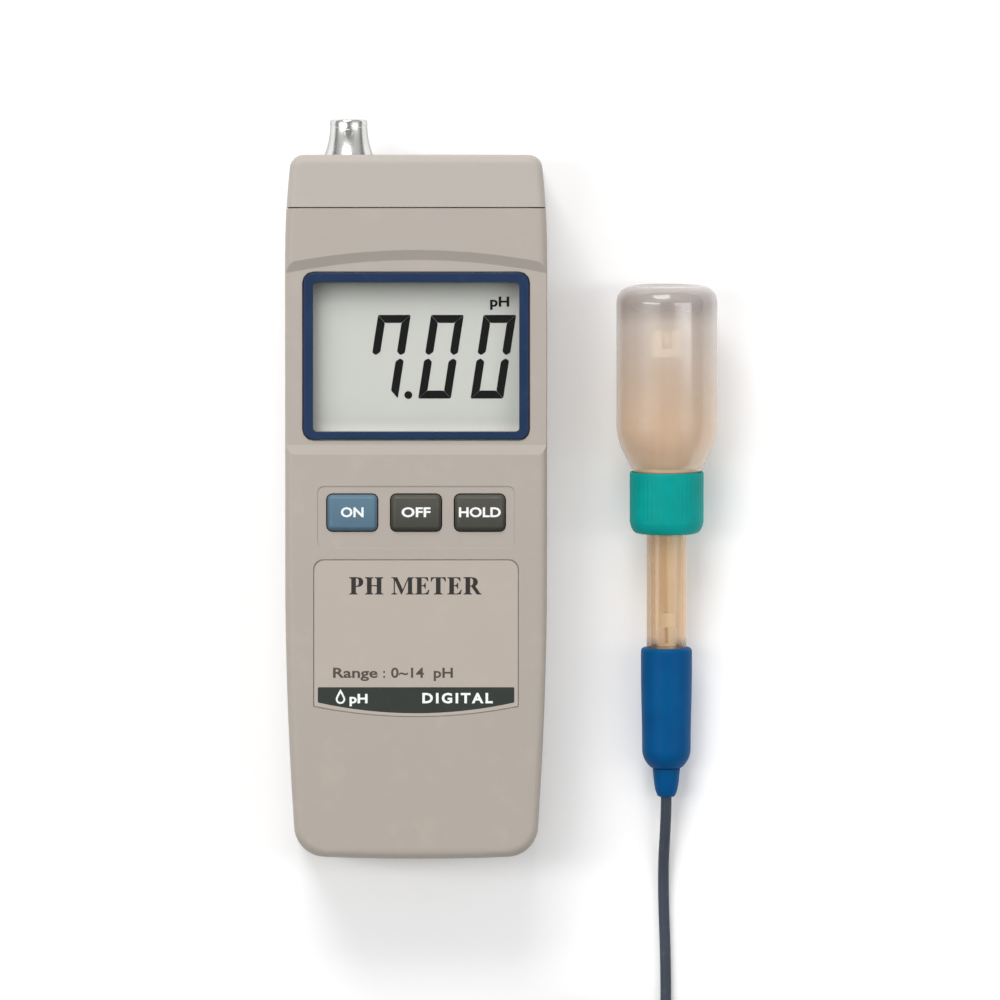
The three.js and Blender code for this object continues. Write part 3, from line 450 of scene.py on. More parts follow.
def plate(corners, low, high, rounding=0):
    """A thin plate with this outline, its corners rounded, between two heights."""
    shape = bmesh.new()
    rim = [shape.verts.new((x, y, low)) for x, y in corners]
    shape.faces.new(rim)
    if rounding:
        rounded(shape, rim, rounding, 4, "VERTICES")
    raised(shape, shape.faces[:], high - low)
    bmesh.ops.recalc_face_normals(shape, faces=shape.faces[:])
    return shape


def gathered(shapes):
    """Several meshes as one."""
    whole = bmesh.new()
    for shape in shapes:
        mesh = bpy.data.meshes.new("part")
        shape.to_mesh(mesh)
        shape.free()
        whole.from_mesh(mesh)
        bpy.data.meshes.remove(mesh)
    return whole


def filled(curve):
    """The mesh that a curve or text draws. The curve is used up."""
    drawn = linked("drawn", curve)
    depsgraph = bpy.context.evaluated_depsgraph_get()
    mesh = bpy.data.meshes.new_from_object(drawn.evaluated_get(depsgraph))
    shape = bmesh.new()
    shape.from_mesh(mesh)
    bpy.data.objects.remove(drawn)
    bpy.data.curves.remove(curve)
    bpy.data.meshes.remove(mesh)
    return shape


def lettering(text, left, right, foot, height, low, high, weight=0.03, spacing=1.0):
    """Plain sans letters as thin plates, from left to right, with this capital height."""
    shapes, reach = [], []
    for body in ("H", text):
        words = bpy.data.curves.new("words", "FONT")
        words.body = body
        words.offset = weight
        words.extrude = 0.5
        words.resolution_u = 3
        words.space_character = spacing
        shape = filled(words)
        reach.append([[v.co[axis] for v in shape.verts] for axis in (0, 1)])
        shapes.append(shape)
    shapes[0].free()
    shape = shapes[1]
    capital_foot, capital_top = min(reach[0][1]), max(reach[0][1])
    start, end = min(reach[1][0]), max(reach[1][0])
    bmesh.ops.remove_doubles(shape, verts=shape.verts[:], dist=1e-5)
    bmesh.ops.translate(shape, vec=(-start, -capital_foot, 0.5), verts=shape.verts[:])
    bmesh.ops.scale(shape, vec=((right - left) / (end - start),
                                height / (capital_top - capital_foot), high - low),
                    verts=shape.verts[:])
    bmesh.ops.translate(shape, vec=(left, foot, low), verts=shape.verts[:])
    return shape


figure_height = 21.4 * mm
figure_width = 8.35 * mm
figure_foot = 27.7 * mm
bar = 2.05 * mm
gap = 0.03 * mm
slant = math.tan(math.radians(8.8))
middle_gap = 0.4 * mm
half = figure_height / 2
top_bar = [(gap, figure_height), (figure_width - gap, figure_height),
           (figure_width - bar - gap, figure_height - bar), (bar + gap, figure_height - bar)]
side_bar = [(0, figure_height - gap), (bar, figure_height - bar - gap),
            (bar, half + middle_gap + bar * 0.42), (bar * 0.5, half + middle_gap),
            (0, half + middle_gap + bar * 0.3)]


def across_from(outline):
    return [(figure_width - x, y) for x, y in outline]


def below(outline):
    return [(x, figure_height - y) for x, y in outline]


segments = {
    "top": top_bar,
    "bottom": below(top_bar),
    "upper_left": side_bar,
    "upper_right": across_from(side_bar),
    "lower_left": below(side_bar),
    "lower_right": below(across_from(side_bar)),
}
figure_segments = {
    7: ("top", "upper_left", "upper_right", "lower_right"),
    0: tuple(segments),
}
ink_low = cell_high.z + 0.01 * mm
ink_high = cell_high.z + 0.04 * mm
ink_plates = []
for figure, left in [(7, -13.07 * mm), (0, 0.5 * mm), (0, 13.9 * mm)]:
    for segment in figure_segments[figure]:
        outline = [(left + x + slant * y, figure_foot + y) for x, y in segments[segment]]
        ink_plates.append(plate(outline, ink_low, ink_high, 0.3 * mm))
point_radius = 1.02 * mm
point_outline = [(-2.03 * mm + point_radius * math.cos(math.radians(a)),
                  28.6 * mm + point_radius * math.sin(math.radians(a))) for a in range(0, 360, 24)]
ink_plates.append(plate(point_outline, ink_low, ink_high))
ink_plates.append(lettering("pH", 18.9 * mm, 23.8 * mm, 51.2 * mm, 2.6 * mm, ink_low, ink_high))
ink_finish = Finish("lcd_ink", {"Specular IOR Level": 0.05})
ink_cloud = ink_finish.noise(5 * mm, 3)
ink_finish.set({
    "Base Color": ink_finish.mix(ink_cloud, shade(2, 2, 2), shade(10, 11, 10)),
    "Roughness": 0.5 + 0.15 * ink_cloud,
})
painted(placed(gathered(ink_plates), "lcd_figures", "meter"), ink_finish)


# Parts behind the window: a black holder that grips the glass cell, and two striped rubber
# strips that carry its contacts down to the circuit board.
def plain_finish(name, light, dark, roughness=0.5, grain=0.3 * mm, depth=0.012 * mm, rub=None,
                 gloss=0.5):
    """Plastic, ceramic or rubber of a small piece, a little lighter where it is rubbed."""
    return worn_finish(name, light, dark, 6 * mm, (grain, depth, 3), (roughness, 0.12, 0.08),
                       (2.4 * mm, 0.57, 0.76, 0.25, rub or light), gloss)


black_finish = plain_finish("black_plastic", shade(44, 45, 47), shade(30, 31, 33), 0.42,
                            rub=shade(84, 86, 88))
painted(cad_nodes["lcd_holder"], black_finish)
strip_finish = Finish("contact_rubber", {"Roughness": 0.6})
strip_lines = strip_finish.add("TexWave", {"bands_direction": "X"},
                               {"Vector": strip_finish.place, "Scale": 0.4 / mm}, "Fac")
strip_finish.set({
    "Base Color": strip_finish.mix(strip_lines > 0.5, shade(206, 200, 190), shade(38, 38, 40)),
    "Normal": strip_finish.bump(strip_lines, 0.02 * mm),
})
for node in ("contact_strip_upper", "contact_strip_lower"):
    painted(cad_nodes[node], strip_finish)


# Circuit board: green fibreglass with copper tracks under the lacquer, tinned pads, and two
# black moulded chips on its underside.
board_finish = Finish("board_green", {"Specular IOR Level": 0.5})
track_cells = board_finish.add(
    "TexVoronoi", {"feature": "DISTANCE_TO_EDGE"},
    {"Vector": board_finish.place, "Scale": 1 / (3.2 * mm), "Randomness": 0.75}, "Distance")
track = board_finish.fade(track_cells, 0.1, 0.07)
pad_cells = board_finish.add(
    "TexVoronoi", {"distance": "CHEBYCHEV"},
    {"Vector": board_finish.place, "Scale": 1 / (4.4 * mm), "Randomness": 0.6}, "Distance")
pad = board_finish.fade(pad_cells, 0.16, 0.13)
weave = board_finish.noise(0.5 * mm, 2)
lacquer = board_finish.mix(weave, shade(24, 82, 46), shade(33, 98, 57))
tracked = board_finish.mix(track, lacquer, shade(62, 132, 78))
board_finish.set({
    "Base Color": board_finish.mix(pad, tracked, shade(196, 196, 188)),
    "Metallic": pad * 0.9,
    "Roughness": 0.38 + 0.15 * weave,
    "Normal": board_finish.bump(track + pad, 0.03 * mm),
})
painted(cad_nodes["circuit_board"], board_finish)
chip_finish = plain_finish("chip_epoxy", shade(42, 42, 44), shade(32, 32, 34), 0.55, 0.15 * mm)
for node in ("meter_chip", "input_amplifier"):
    painted(moulded(node, node + "_case", 0.15 * mm), chip_finish)


# Keypad: a grey silicone mat with a collapsing dome under each key, on the board.
mat_finish = plain_finish("mat_rubber", shade(112, 113, 114), shade(94, 95, 97), 0.62,
                          0.12 * mm, 0.01 * mm, gloss=0.3)
painted(cad_nodes["keypad_mat"], mat_finish)
for key in ("on", "off", "hold"):
    painted(cad_nodes["key_dome_" + key], mat_finish)


# Keys: three hard moulded caps with broad chamfers. On is blue, off and hold are dark grey,
# and their white legends are printed on.
legend_depth = 0.03 * mm
key_corner = 2.2 * mm
key_edge = 0.28 * mm
key_chamfer = 0.9 * mm
key_chamfer_drop = 0.72 * mm
flange = 0.9 * mm
flange_height = 1.2 * mm
legend_finish = Finish("legend_ink", {"Specular IOR Level": 0.35})
legend_wear = legend_finish.noise(0.9 * mm, 4, 0.7)
legend_finish.set({
    "Base Color": legend_finish.mix(legend_finish.fade(legend_wear, 0.5, 0.75),
                                    shade(240, 242, 240), shade(206, 210, 208)),
    "Roughness": 0.4 + 0.2 * legend_wear,
})


def key_finish(name, light, dark, worn):
    """Satin key plastic, polished by fingers on each cap's top, which is a little lighter than its
    chamfers; painted light also makes each cap lighter towards its upper edge.
    """
    finish = Finish(name, {"Specular IOR Level": 0.25, "Coat Roughness": 0.3})
    cloud = finish.noise(4 * mm, 3)
    grain = finish.noise(0.2 * mm, 2, 0.6)
    touch = finish.fade(finish.noise(2.6 * mm, 4, 0.7), 0.52, 0.75)
    # Painted light: each cap goes from the dark shade at its lower edge to the light one at its upper
    # edge, as if lit from above. Its top face is also mixed a little towards the polished colour.
    top = finish.fade(finish.along("Z"), key_top - 0.5 * mm, key_top)
    upper = finish.fade(finish.along("Y"), key_low.y, key_high.y)
    colour = finish.mix(0.7 * upper + 0.3 * cloud, dark, light)
    colour = finish.mix(top * 0.25, colour, worn)
    finish.set({
        "Base Color": finish.mix(touch * 0.16, colour, worn),
        "Roughness": 0.36 + 0.14 * cloud - 0.1 * touch,
        "Coat Weight": 0.15 * touch,
        "Normal": finish.bump(grain, 0.01 * mm),
    })
    return finish


key_low, key_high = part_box("key_on")
key_top = key_high.z - legend_depth
# Each key's first shade is its painted-lit upper edge, the second is its painted-shaded lower edge, and
# the third is its polished top.
key_finishes = {
    "key_blue": key_finish("key_blue", shade(92, 120, 138), shade(68, 94, 112),
                           shade(98, 130, 150)),
    "key_grey": key_finish("key_grey", shade(84, 82, 75), shade(50, 51, 46),
                           shade(80, 78, 72)),
}
legend_height = 2.5 * mm
for key, slot, legend_width in [("on", "key_blue", 5.8 * mm), ("off", "key_grey", 7.4 * mm),
                                ("hold", "key_grey", 10.7 * mm)]:
    key_low, key_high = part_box("key_" + key)
    cap = bmesh.new()
    rim = [cap.verts.new((x, y, key_low.z)) for x, y in [
        (key_low.x, key_low.y), (key_high.x, key_low.y),
        (key_high.x, key_high.y), (key_low.x, key_high.y)]]
    cap.faces.new(rim)
    rounded(cap, rim, key_corner, 6, "VERTICES")
    upper = raised(cap, cap.faces[:], flange_height)
    bmesh.ops.recalc_face_normals(cap, faces=cap.faces[:])
    bmesh.ops.inset_region(cap, faces=upper, thickness=flange, depth=0)
    wall_height = key_top - key_chamfer_drop - key_low.z - flange_height
    upper = raised(cap, upper, wall_height)
    bmesh.ops.inset_region(cap, faces=upper, thickness=key_chamfer, depth=key_chamfer_drop)
    crown = [e for e in cap.edges if e.calc_face_angle(0) > math.radians(20)
             and min(v.co.z for v in e.verts) > key_low.z + flange_height]
    rounded(cap, crown, key_edge, 3)
    body = key + "_key"
    painted(placed(cap, key + "_key_cap", body, ["key_" + key]), key_finishes[slot])
    middle = (key_low.x + key_high.x) / 2
    foot = (key_low.y + key_high.y) / 2 - legend_height / 2 + 0.1 * mm
    legend = lettering(key.upper(), middle - legend_width / 2, middle + legend_width / 2, foot,
                       legend_height, key_top, key_high.z, 0.025)
    painted(placed(legend, key + "_legend", body), legend_finish)


# Front label: a thin polycarbonate film set flush in the front, with its lettering and a
# charcoal band screen-printed on it. The band holds a plain drop sign and one word.
film_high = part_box("front_label")[1]
# Like the case, the film is painted a little lighter at the top than at the bottom.
film_finish = beige_finish("label_film", shade(181, 169, 158), shade(177, 165, 154), 0.3)
film_finish.set({"Coat Weight": 0.12, "Coat Roughness": 0.35})
painted(moulded("front_label", "label_film", 0.03 * mm), film_finish)


def print_finish(name, light, dark):
    """Screen-printed ink: slightly uneven, with pinholes where it is rubbed."""
    finish = Finish(name, {"Specular IOR Level": 0.35})
    cloud = finish.noise(6 * mm, 4, 0.6)
    rubbed = finish.fade(finish.noise(0.8 * mm, 4, 0.75), 0.62, 0.8)
    finish.set({
        "Base Color": finish.mix(rubbed * 0.3, finish.mix(cloud, dark, light),
                                 shade(150, 142, 134)),
        "Roughness": 0.42 + 0.14 * cloud + 0.1 * rubbed,
        "Normal": finish.bump(cloud, 0.01 * mm),
    })
    return finish


print_low = film_high.z
print_high = film_high.z + 0.02 * mm
band_half = 25.1 * mm
band_top = -46.1 * mm
band_side = -50 * mm
band_sag = 2.75 * mm
band_steps = 16
band_outline = [(band_half, band_top), (-band_half, band_top)]
for step in range(band_steps + 1):
    part = 2 * step / band_steps - 1
    band_outline.append((band_half * part, band_side - band_sag * (1 - part * part)))
band_plate = plate(band_outline, print_low, print_high, 0.3 * mm)
painted(placed(band_plate, "label_band", "meter"),
        print_finish("band_ink", shade(46, 52, 48), shade(36, 42, 38)))

# Each heavy serif letter is an outline in shares of its height. A third value marks a corner
# that is drawn as part of a curve.
serif = 0.045
stem_foot = [(0.02, 0), (0.39, 0), (0.39, serif), (0.33, 0.07), (0.31, 0.12)]
stem_head = [(0.02, 1), (0.02, 1 - serif), (0.09, 0.93), (0.11, 0.88), (0.11, 0.12),
             (0.09, 0.07), (0.02, serif)]
letters = {
    "P": (0.68, [
        [*stem_foot, (0.31, 0.44),
         (0.40, 0.44, 1), (0.55, 0.50, 1), (0.63, 0.72, 1), (0.55, 0.94, 1), (0.38, 1, 1),
         *stem_head],
        [(0.31, 0.94), (0.36, 0.935, 1), (0.42, 0.86, 1), (0.43, 0.72, 1), (0.42, 0.58, 1),
         (0.36, 0.50, 1), (0.31, 0.495)]]),
    "H": (0.84, [
        [*stem_foot, (0.31, 0.475),
         (0.53, 0.475), (0.53, 0.12), (0.51, 0.07), (0.45, serif), (0.45, 0), (0.82, 0),
         (0.82, serif), (0.75, 0.07), (0.73, 0.12), (0.73, 0.88), (0.75, 0.93),
         (0.82, 1 - serif), (0.82, 1), (0.45, 1), (0.45, 1 - serif), (0.51, 0.93),
         (0.53, 0.88), (0.53, 0.54), (0.31, 0.54), (0.31, 0.88), (0.33, 0.93),
         (0.39, 1 - serif), (0.39, 1), *stem_head]]),
    "M": (1.02, [
        [(0.02, 0), (0.27, 0), (0.27, serif), (0.19, 0.08), (0.175, 0.14), (0.175, 0.82),
         (0.44, 0), (0.475, 0), (0.74, 0.84), (0.74, 0.12), (0.725, 0.07), (0.65, serif),
         (0.65, 0), (1, 0), (1, serif), (0.935, 0.07), (0.92, 0.12), (0.92, 0.88),
         (0.935, 0.93), (1, 1 - serif), (1, 1), (0.745, 1), (0.515, 0.3), (0.275, 1),
         (0.02, 1), (0.02, 1 - serif), (0.1, 0.93), (0.125, 0.88), (0.125, 0.14),
         (0.11, 0.08), (0.02, serif)]]),
    "E": (0.7, [
        [(0.02, 0), (0.6, 0), (0.65, 0.27), (0.61, 0.28), (0.54, 0.12), (0.44, 0.055),
         (0.31, 0.055), (0.31, 0.485), (0.38, 0.48), (0.43, 0.44), (0.45, 0.34),
         (0.49, 0.34), (0.49, 0.68), (0.45, 0.68), (0.43, 0.59), (0.38, 0.54),
         (0.31, 0.535), (0.31, 0.945), (0.42, 0.945), (0.51, 0.89), (0.565, 0.76),
         (0.6, 0.77), (0.58, 1), *stem_head]]),
    "T": (0.7, [
        [(0.14, 0), (0.52, 0), (0.52, serif), (0.45, 0.07), (0.43, 0.12), (0.43, 0.945),
         (0.52, 0.94), (0.585, 0.87), (0.62, 0.74), (0.66, 0.75), (0.645, 1), (0.015, 1),
         (0, 0.75), (0.04, 0.74), (0.075, 0.87), (0.14, 0.94), (0.23, 0.945), (0.23, 0.12),
         (0.21, 0.07), (0.14, serif)]]),
    "R": (0.78, [
        [*stem_foot, (0.31, 0.46),
         (0.36, 0.46), (0.56, 0.07), (0.58, 0), (0.8, 0), (0.8, serif), (0.74, 0.07),
         (0.53, 0.49), (0.6, 0.56, 1), (0.64, 0.73, 1), (0.57, 0.93, 1), (0.38, 1, 1),
         *stem_head],
        [(0.31, 0.94), (0.36, 0.935, 1), (0.42, 0.87, 1), (0.435, 0.74, 1),
         (0.42, 0.6, 1), (0.36, 0.525, 1), (0.31, 0.52)]]),
}
word_gap = 0.3


def flat_outline(rings, low, high):
    """A thin closed plate from a ring of points and the holes in it."""
    curve = bpy.data.curves.new("outline", "CURVE")
    curve.dimensions = "2D"
    curve.fill_mode = "BOTH"
    curve.extrude = 0.5
    curve.resolution_u = 3
    for ring in rings:
        path = curve.splines.new("BEZIER")
        path.bezier_points.add(len(ring) - 1)
        path.use_cyclic_u = True
        for knot, corner in zip(path.bezier_points, ring):
            knot.co = (corner[0], corner[1], 0)
            kind = "AUTO" if len(corner) == 3 else "VECTOR"
            knot.handle_left_type = knot.handle_right_type = kind
    shape = filled(curve)
    bmesh.ops.remove_doubles(shape, verts=shape.verts[:], dist=1e-6)
    bmesh.ops.translate(shape, vec=(0, 0, 0.5), verts=shape.verts[:])
    bmesh.ops.scale(shape, vec=(1, 1, high - low), verts=shape.verts[:])
    bmesh.ops.translate(shape, vec=(0, 0, low), verts=shape.verts[:])
    return shape


title_height = 4.4 * mm
title_left, title_right = -17.2 * mm, 16.6 * mm
title_foot = -22.4 * mm
title = "PH METER"
advance = sum(word_gap if letter == " " else letters[letter][0] for letter in title)
letter_size = (title_right - title_left) / advance
title_plates = []
pen = 0
for letter in title:
    if letter == " ":
        pen += word_gap
        continue
    width, rings = letters[letter]
    drawn_rings = [[(title_left + (pen + p[0]) * letter_size,
                     title_foot + p[1] * title_height, *p[2:]) for p in ring] for ring in rings]
    title_plates.append(flat_outline(drawn_rings, print_low, print_high))
    pen += width
painted(placed(gathered(title_plates), "label_title", "meter"),
        print_finish("title_ink", shade(44, 42, 40), shade(34, 32, 31)))
range_foot, range_height = -43.7 * mm, 2.6 * mm
range_words = gathered([
    lettering(words, left * mm, right * mm, range_foot, range_height, print_low, print_high, 0.022)
    for words, left, right in [("Range", -21.2, -9.8), (":", -8.4, -7.9), ("0~14", -6.4, 2),
                               ("pH", 4.5, 9.4)]])
painted(placed(range_words, "label_range", "meter"),
        print_finish("range_ink", shade(86, 78, 72), shade(72, 64, 58)))
band_word_low, band_word_high = print_high, print_high + 0.02 * mm
band_word = lettering("DIGITAL", 1.6 * mm, 19.6 * mm, -50.2 * mm, 2.65 * mm, band_word_low,
                      band_word_high, 0.035, 1.3)
drop_x, drop_y, drop_radius = -19.3 * mm, -49.15 * mm, 1.2 * mm
drop = []
for radius in (drop_radius, drop_radius * 0.62):
    ring = [(drop_x, drop_y + 2.15 * radius)]
    for step in range(9):
        angle = math.radians(30 - step * 30)
        ring.append((drop_x + radius * math.cos(angle), drop_y + radius * math.sin(angle), 1))
    drop.append(ring)
drop_shape = flat_outline(drop, band_word_low, band_word_high)
sign_word = lettering("pH", -17 * mm, -12.4 * mm, -50.2 * mm, 2.4 * mm, band_word_low,
                      band_word_high, 0.03)
painted(placed(gathered([band_word, drop_shape, sign_word]), "label_band_words", "meter"), legend_finish)


# Battery: a nine volt block in a printed steel jacket, with a snap, its two leads and their
# tinned ends, in the bay behind the door.
battery_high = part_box("battery")[1]
battery_finish = Finish("battery_case", {"Specular IOR Level": 0.5})
battery_up = battery_finish.along("Y")
band_share = battery_finish.fade(battery_up, battery_high.y - 15 * mm, battery_high.y - 14.8 * mm)
stud_share = battery_finish.fade(battery_up, battery_high.y - 3 * mm, battery_high.y - 2.8 * mm)
battery_cloud = battery_finish.noise(5 * mm, 4, 0.6)
battery_dent = battery_finish.noise(2.5 * mm, 2)
jacket_colour = battery_finish.mix(battery_cloud, shade(38, 43, 48), shade(50, 56, 62))
jacket_colour = battery_finish.mix(band_share, jacket_colour, shade(176, 116, 62))
battery_finish.set({
    "Base Color": battery_finish.mix(stud_share, jacket_colour, shade(186, 188, 190)),
    "Metallic": 0.35 * band_share + 0.5 * stud_share,
    "Roughness": 0.3 + 0.2 * battery_cloud,
    "Normal": battery_finish.bump(battery_dent, 0.02 * mm),
})
painted(moulded("battery", "nine_volt_battery", 0.35 * mm), battery_finish)
painted(moulded("battery_snap", "battery_snap_cap", 0.3 * mm),
        black_finish)
wire_finishes = {
    "red": plain_finish("wire_red", shade(186, 40, 34), shade(160, 30, 26), 0.4, 0.2 * mm),
    "black": plain_finish("wire_black", shade(38, 38, 40), shade(26, 26, 28), 0.4, 0.2 * mm),
}
for name, finish in wire_finishes.items():
    painted(cad_nodes["battery_wire_" + name], finish)


# Probe socket: a nickel-plated bayonet jack with two locking lugs and a flange, held in the
# end cap by a washer and nut, with a white insulator, a gilt contact and a lead inside.
def turned(name, corners, body, finish, stands_for, place, sides=72, closed=True,
           ribs=None):
    """A turned piece. Its half outline, with each corner's rounding as the third value, is
    spun once round the Y axis and put in place. Ribs are (count, depth, from, to), and they
    are cut only in the outermost wall."""
    shape = bmesh.new()
    knots = [shape.verts.new((c[0] * mm, c[1] * mm, 0)) for c in corners]
    ends = knots[1:] + knots[:1] if closed else knots[1:]
    for first, second in zip(knots, ends):
        shape.edges.new((first, second))
    for knot, corner in zip(knots, corners):
        if len(corner) == 3:
            rounded(shape, [knot], corner[2] * mm, 4, "VERTICES")
    bmesh.ops.spin(shape, geom=shape.verts[:] + shape.edges[:], cent=(0, 0, 0), axis=(0, 1, 0),
                   angle=2 * math.pi, steps=sides, use_merge=True)
    bmesh.ops.remove_doubles(shape, verts=shape.verts[:], dist=0.001 * mm)
    bmesh.ops.recalc_face_normals(shape, faces=shape.faces[:])
    if ribs:
        count, depth, start, end = ribs
        outer_wall = (max(c[0] for c in corners) - 0.05) * mm
        for v in shape.verts:
            reach = math.hypot(v.co.x, v.co.z)
            if start * mm < v.co.y < end * mm and reach > outer_wall:
                wave = math.cos(count * math.atan2(v.co.z, v.co.x))
                share = 1 - depth * mm * (0.5 - 0.5 * wave) / reach
                v.co.x *= share
                v.co.z *= share
    bmesh.ops.transform(shape, matrix=place, verts=shape.verts[:])
    return painted(placed(shape, name, body, stands_for), finish)


jack_low, jack_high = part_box("probe_jack_shell")
cap_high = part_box("end_cap")[1]
jack_x = (jack_low.x + jack_high.x) / 2
jack_height = 16 * mm
jack_place = Matrix.Translation((jack_x, 0, jack_height))
jack_end = jack_high.y / mm
cap_end = cap_high.y / mm
thread_end = jack_low.y / mm
nickel_finish = metal_finish("nickel", shade(238, 238, 234), shade(206, 207, 204), 0.16,
                             shade(150, 146, 138), (1, 20, 1))
nickel_finish.set({"Specular Tint": shade(190, 190, 190)})
turned("bayonet_jack_shell", [
    (4.05, jack_end, 0.1), (4.05, cap_end + 0.6), (2.6, cap_end + 0.6), (2.6, thread_end),
    (4.7, thread_end, 0.2), (4.7, cap_end + 0.05), (6.3, cap_end + 0.05, 0.1),
    (5.9, cap_end + 1.2, 0.8), (5.35, cap_end + 3, 1.2), (4.8, cap_end + 6, 1.2),
    (4.8, jack_end - 2.2), (4.72, jack_end - 2.1), (4.72, jack_end - 1.5),
    (4.8, jack_end - 1.4), (4.8, jack_end, 0.9),
], "meter", nickel_finish, ["probe_jack_shell"], jack_place, 96)
lug_y = jack_end - 3.6
lug_shapes = []
for side in (1, -1):
    lug = bmesh.new()
    bmesh.ops.create_cone(lug, cap_ends=True, segments=24, radius1=1 * mm, radius2=1 * mm,
                          depth=1.2 * mm)
    rim = [e for e in lug.edges if e.calc_face_angle(0) > math.radians(60)]
    rounded(lug, rim, 0.15 * mm, 2)
    bmesh.ops.translate(lug, vec=(jack_x, lug_y * mm, jack_height + side * 4.9 * mm),
                        verts=lug.verts[:])
    lug_shapes.append(lug)
painted(placed(gathered(lug_shapes), "bayonet_lugs", "meter"), nickel_finish)
insulator_finish = plain_finish("white_insulator", shade(236, 233, 225), shade(224, 220, 210),
                                0.4, 0.2 * mm)
contact_finish = metal_finish("contact_brass", shade(222, 186, 108), shade(196, 158, 84), 0.2,
                              shade(128, 92, 52))
for node, finish in [("probe_jack_insulator", insulator_finish),
                     ("probe_jack_contact", contact_finish),
                     ("probe_jack_lead", insulator_finish)]:
    painted(cad_nodes[node], finish)
painted(moulded("probe_jack_washer", "jack_washer", 0.08 * mm), nickel_finish)
painted(moulded("probe_jack_nut", "jack_nut", 0.25 * mm), nickel_finish)


# Calibration trimmers: two blue multi-turn resistors on the board, whose slotted brass
# screws are reached through holes in the meter's side.
trimmer_finish = plain_finish("trimmer_blue", shade(54, 104, 178), shade(40, 86, 158), 0.38,
                              0.2 * mm)
for name in ("offset", "slope"):
    painted(moulded("trimmer_body_" + name, name + "_trimmer", 0.25 * mm),
            trimmer_finish)
    painted(moulded("trimmer_screw_" + name, name + "_adjuster", 0.08 * mm), contact_finish)


# Combination electrode: an amber epoxy barrel with a slotted guard over the glass bulb, a
# glass stem with its silver wire and plug inside, and a blue grip with a tapered strain
# relief. It lies on its storage bottle and grip, so its axis is tilted a little.
unscrew = next(j for j in frame["joints"] if j["name"] == "bottle_unscrew")
lie = Vector(unscrew["axis"]).normalized()
tilt = math.atan2(lie.z, lie.y)
axis_start = Vector(unscrew["pos_m"]) - lie * 30 * mm
probe_place = Matrix.Translation(axis_start) @ Matrix.Rotation(tilt, 4, "X")


def see_through(name, roughness, colours=None, cover=None, cloud_size=6 * mm,
                streak=(1, 1, 1)):
    """Translucent plastic or glass. Its two colours mix in clouds and streaks, and its cover
    goes from the first value, where it is seen square on, to the second, edge on."""
    finish = Finish(name, {"Specular IOR Level": 0.5})
    cloud = finish.noise(cloud_size, 4, 0.6)
    lines = finish.noise(3 * mm, 3, 0.6, finish.spread(streak))
    if colours:
        share = 0.35 * cloud + 0.65 * finish.fade(lines, 0.4, 0.6)
        finish.set({"Base Color": finish.mix(share, *colours)})
    if cover:
        share = finish.fade(finish.facing(), 0.2, 1, *cover)
        finish.set({"Alpha": share + 0.12 * (cloud - 0.5) + 0.06 * (lines - 0.5)})
    finish.set({
        "Roughness": roughness + 0.12 * cloud + 0.06 * lines,
        "Normal": finish.bump(lines, 0.01 * mm),
    })
    return finish


upright = (1, 0.01, 1)
barrel_finish = see_through("barrel_amber", 0.12, cover=(0.32, 0.8), streak=upright)
rim_height = (axis_start - lie * 36.3 * mm).y
aside = abs(barrel_finish.along("X") - axis_start.x)
# Painted shadow: the barrel's sides are darkened just above the grip's rim.
painted_grip_shadow = barrel_finish.fade(barrel_finish.along("Y"), rim_height + 3 * mm, rim_height + 0.6 * mm)
painted_grip_shadow = painted_grip_shadow * barrel_finish.fade(aside, 1.6 * mm, 2.6 * mm)
barrel_lines = barrel_finish.noise(2 * mm, 1, 0.5, barrel_finish.spread((1, 0.004, 0.1)))
barrel_colour = barrel_finish.mix(barrel_finish.fade(barrel_lines, 0.4, 0.6),
                                  shade(214, 172, 124), shade(253, 219, 173))
barrel_finish.set({
    "Base Color": barrel_finish.mix(painted_grip_shadow * 0.7, barrel_colour, shade(92, 84, 78)),
})
turned("epoxy_barrel", [
    (5.1, -45.3, 0.2), (5.1, 38.4, 0.35), (4.0, 38.4, 0.2), (4.0, -45.3, 0.2),
], "electrode", barrel_finish, ["electrode_barrel"], probe_place, 72)
guard_finish = plain_finish("guard_plastic", shade(255, 240, 218), shade(250, 228, 200), 0.45,
                            0.3 * mm)
painted(moulded("tip_guard", "bulb_guard", 0.2 * mm), guard_finish)
stem_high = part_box("glass_stem")[1]
glass_finish = see_through("clear_glass", 0.04, (shade(244, 216, 176), shade(255, 238, 206)),
                           streak=upright)
glass_finish.set({"Alpha": glass_finish.fade(glass_finish.along("Y"), stem_high.y - 15 * mm,
                                             stem_high.y - 11 * mm, 0.3, 0.8)})
painted(moulded("glass_stem", "glass_stem_tube"), glass_finish)
stem_plug_finish = plain_finish("stem_ceramic", shade(250, 240, 222), shade(240, 226, 202), 0.5,
                                0.15 * mm)
painted(moulded("stem_plug", "stem_end_plug", 0.15 * mm), stem_plug_finish)
wire_finish = metal_finish("wire_metal", shade(118, 98, 80), shade(84, 66, 52), 0.35,
                           shade(60, 46, 36))
painted(moulded("inner_wire", "silver_wire"), wire_finish)
collar_finish = plain_finish("collar_ceramic", shade(226, 214, 188), shade(210, 196, 168), 0.55,
                             0.2 * mm)
painted(moulded("wire_collar", "wire_sleeve", 0.2 * mm), collar_finish)
seal_finish = plain_finish("seal_rubber", shade(70, 70, 72), shade(52, 52, 54), 0.6, 0.15 * mm)
painted(moulded("barrel_seal", "barrel_seal_ring", 0.15 * mm), seal_finish)

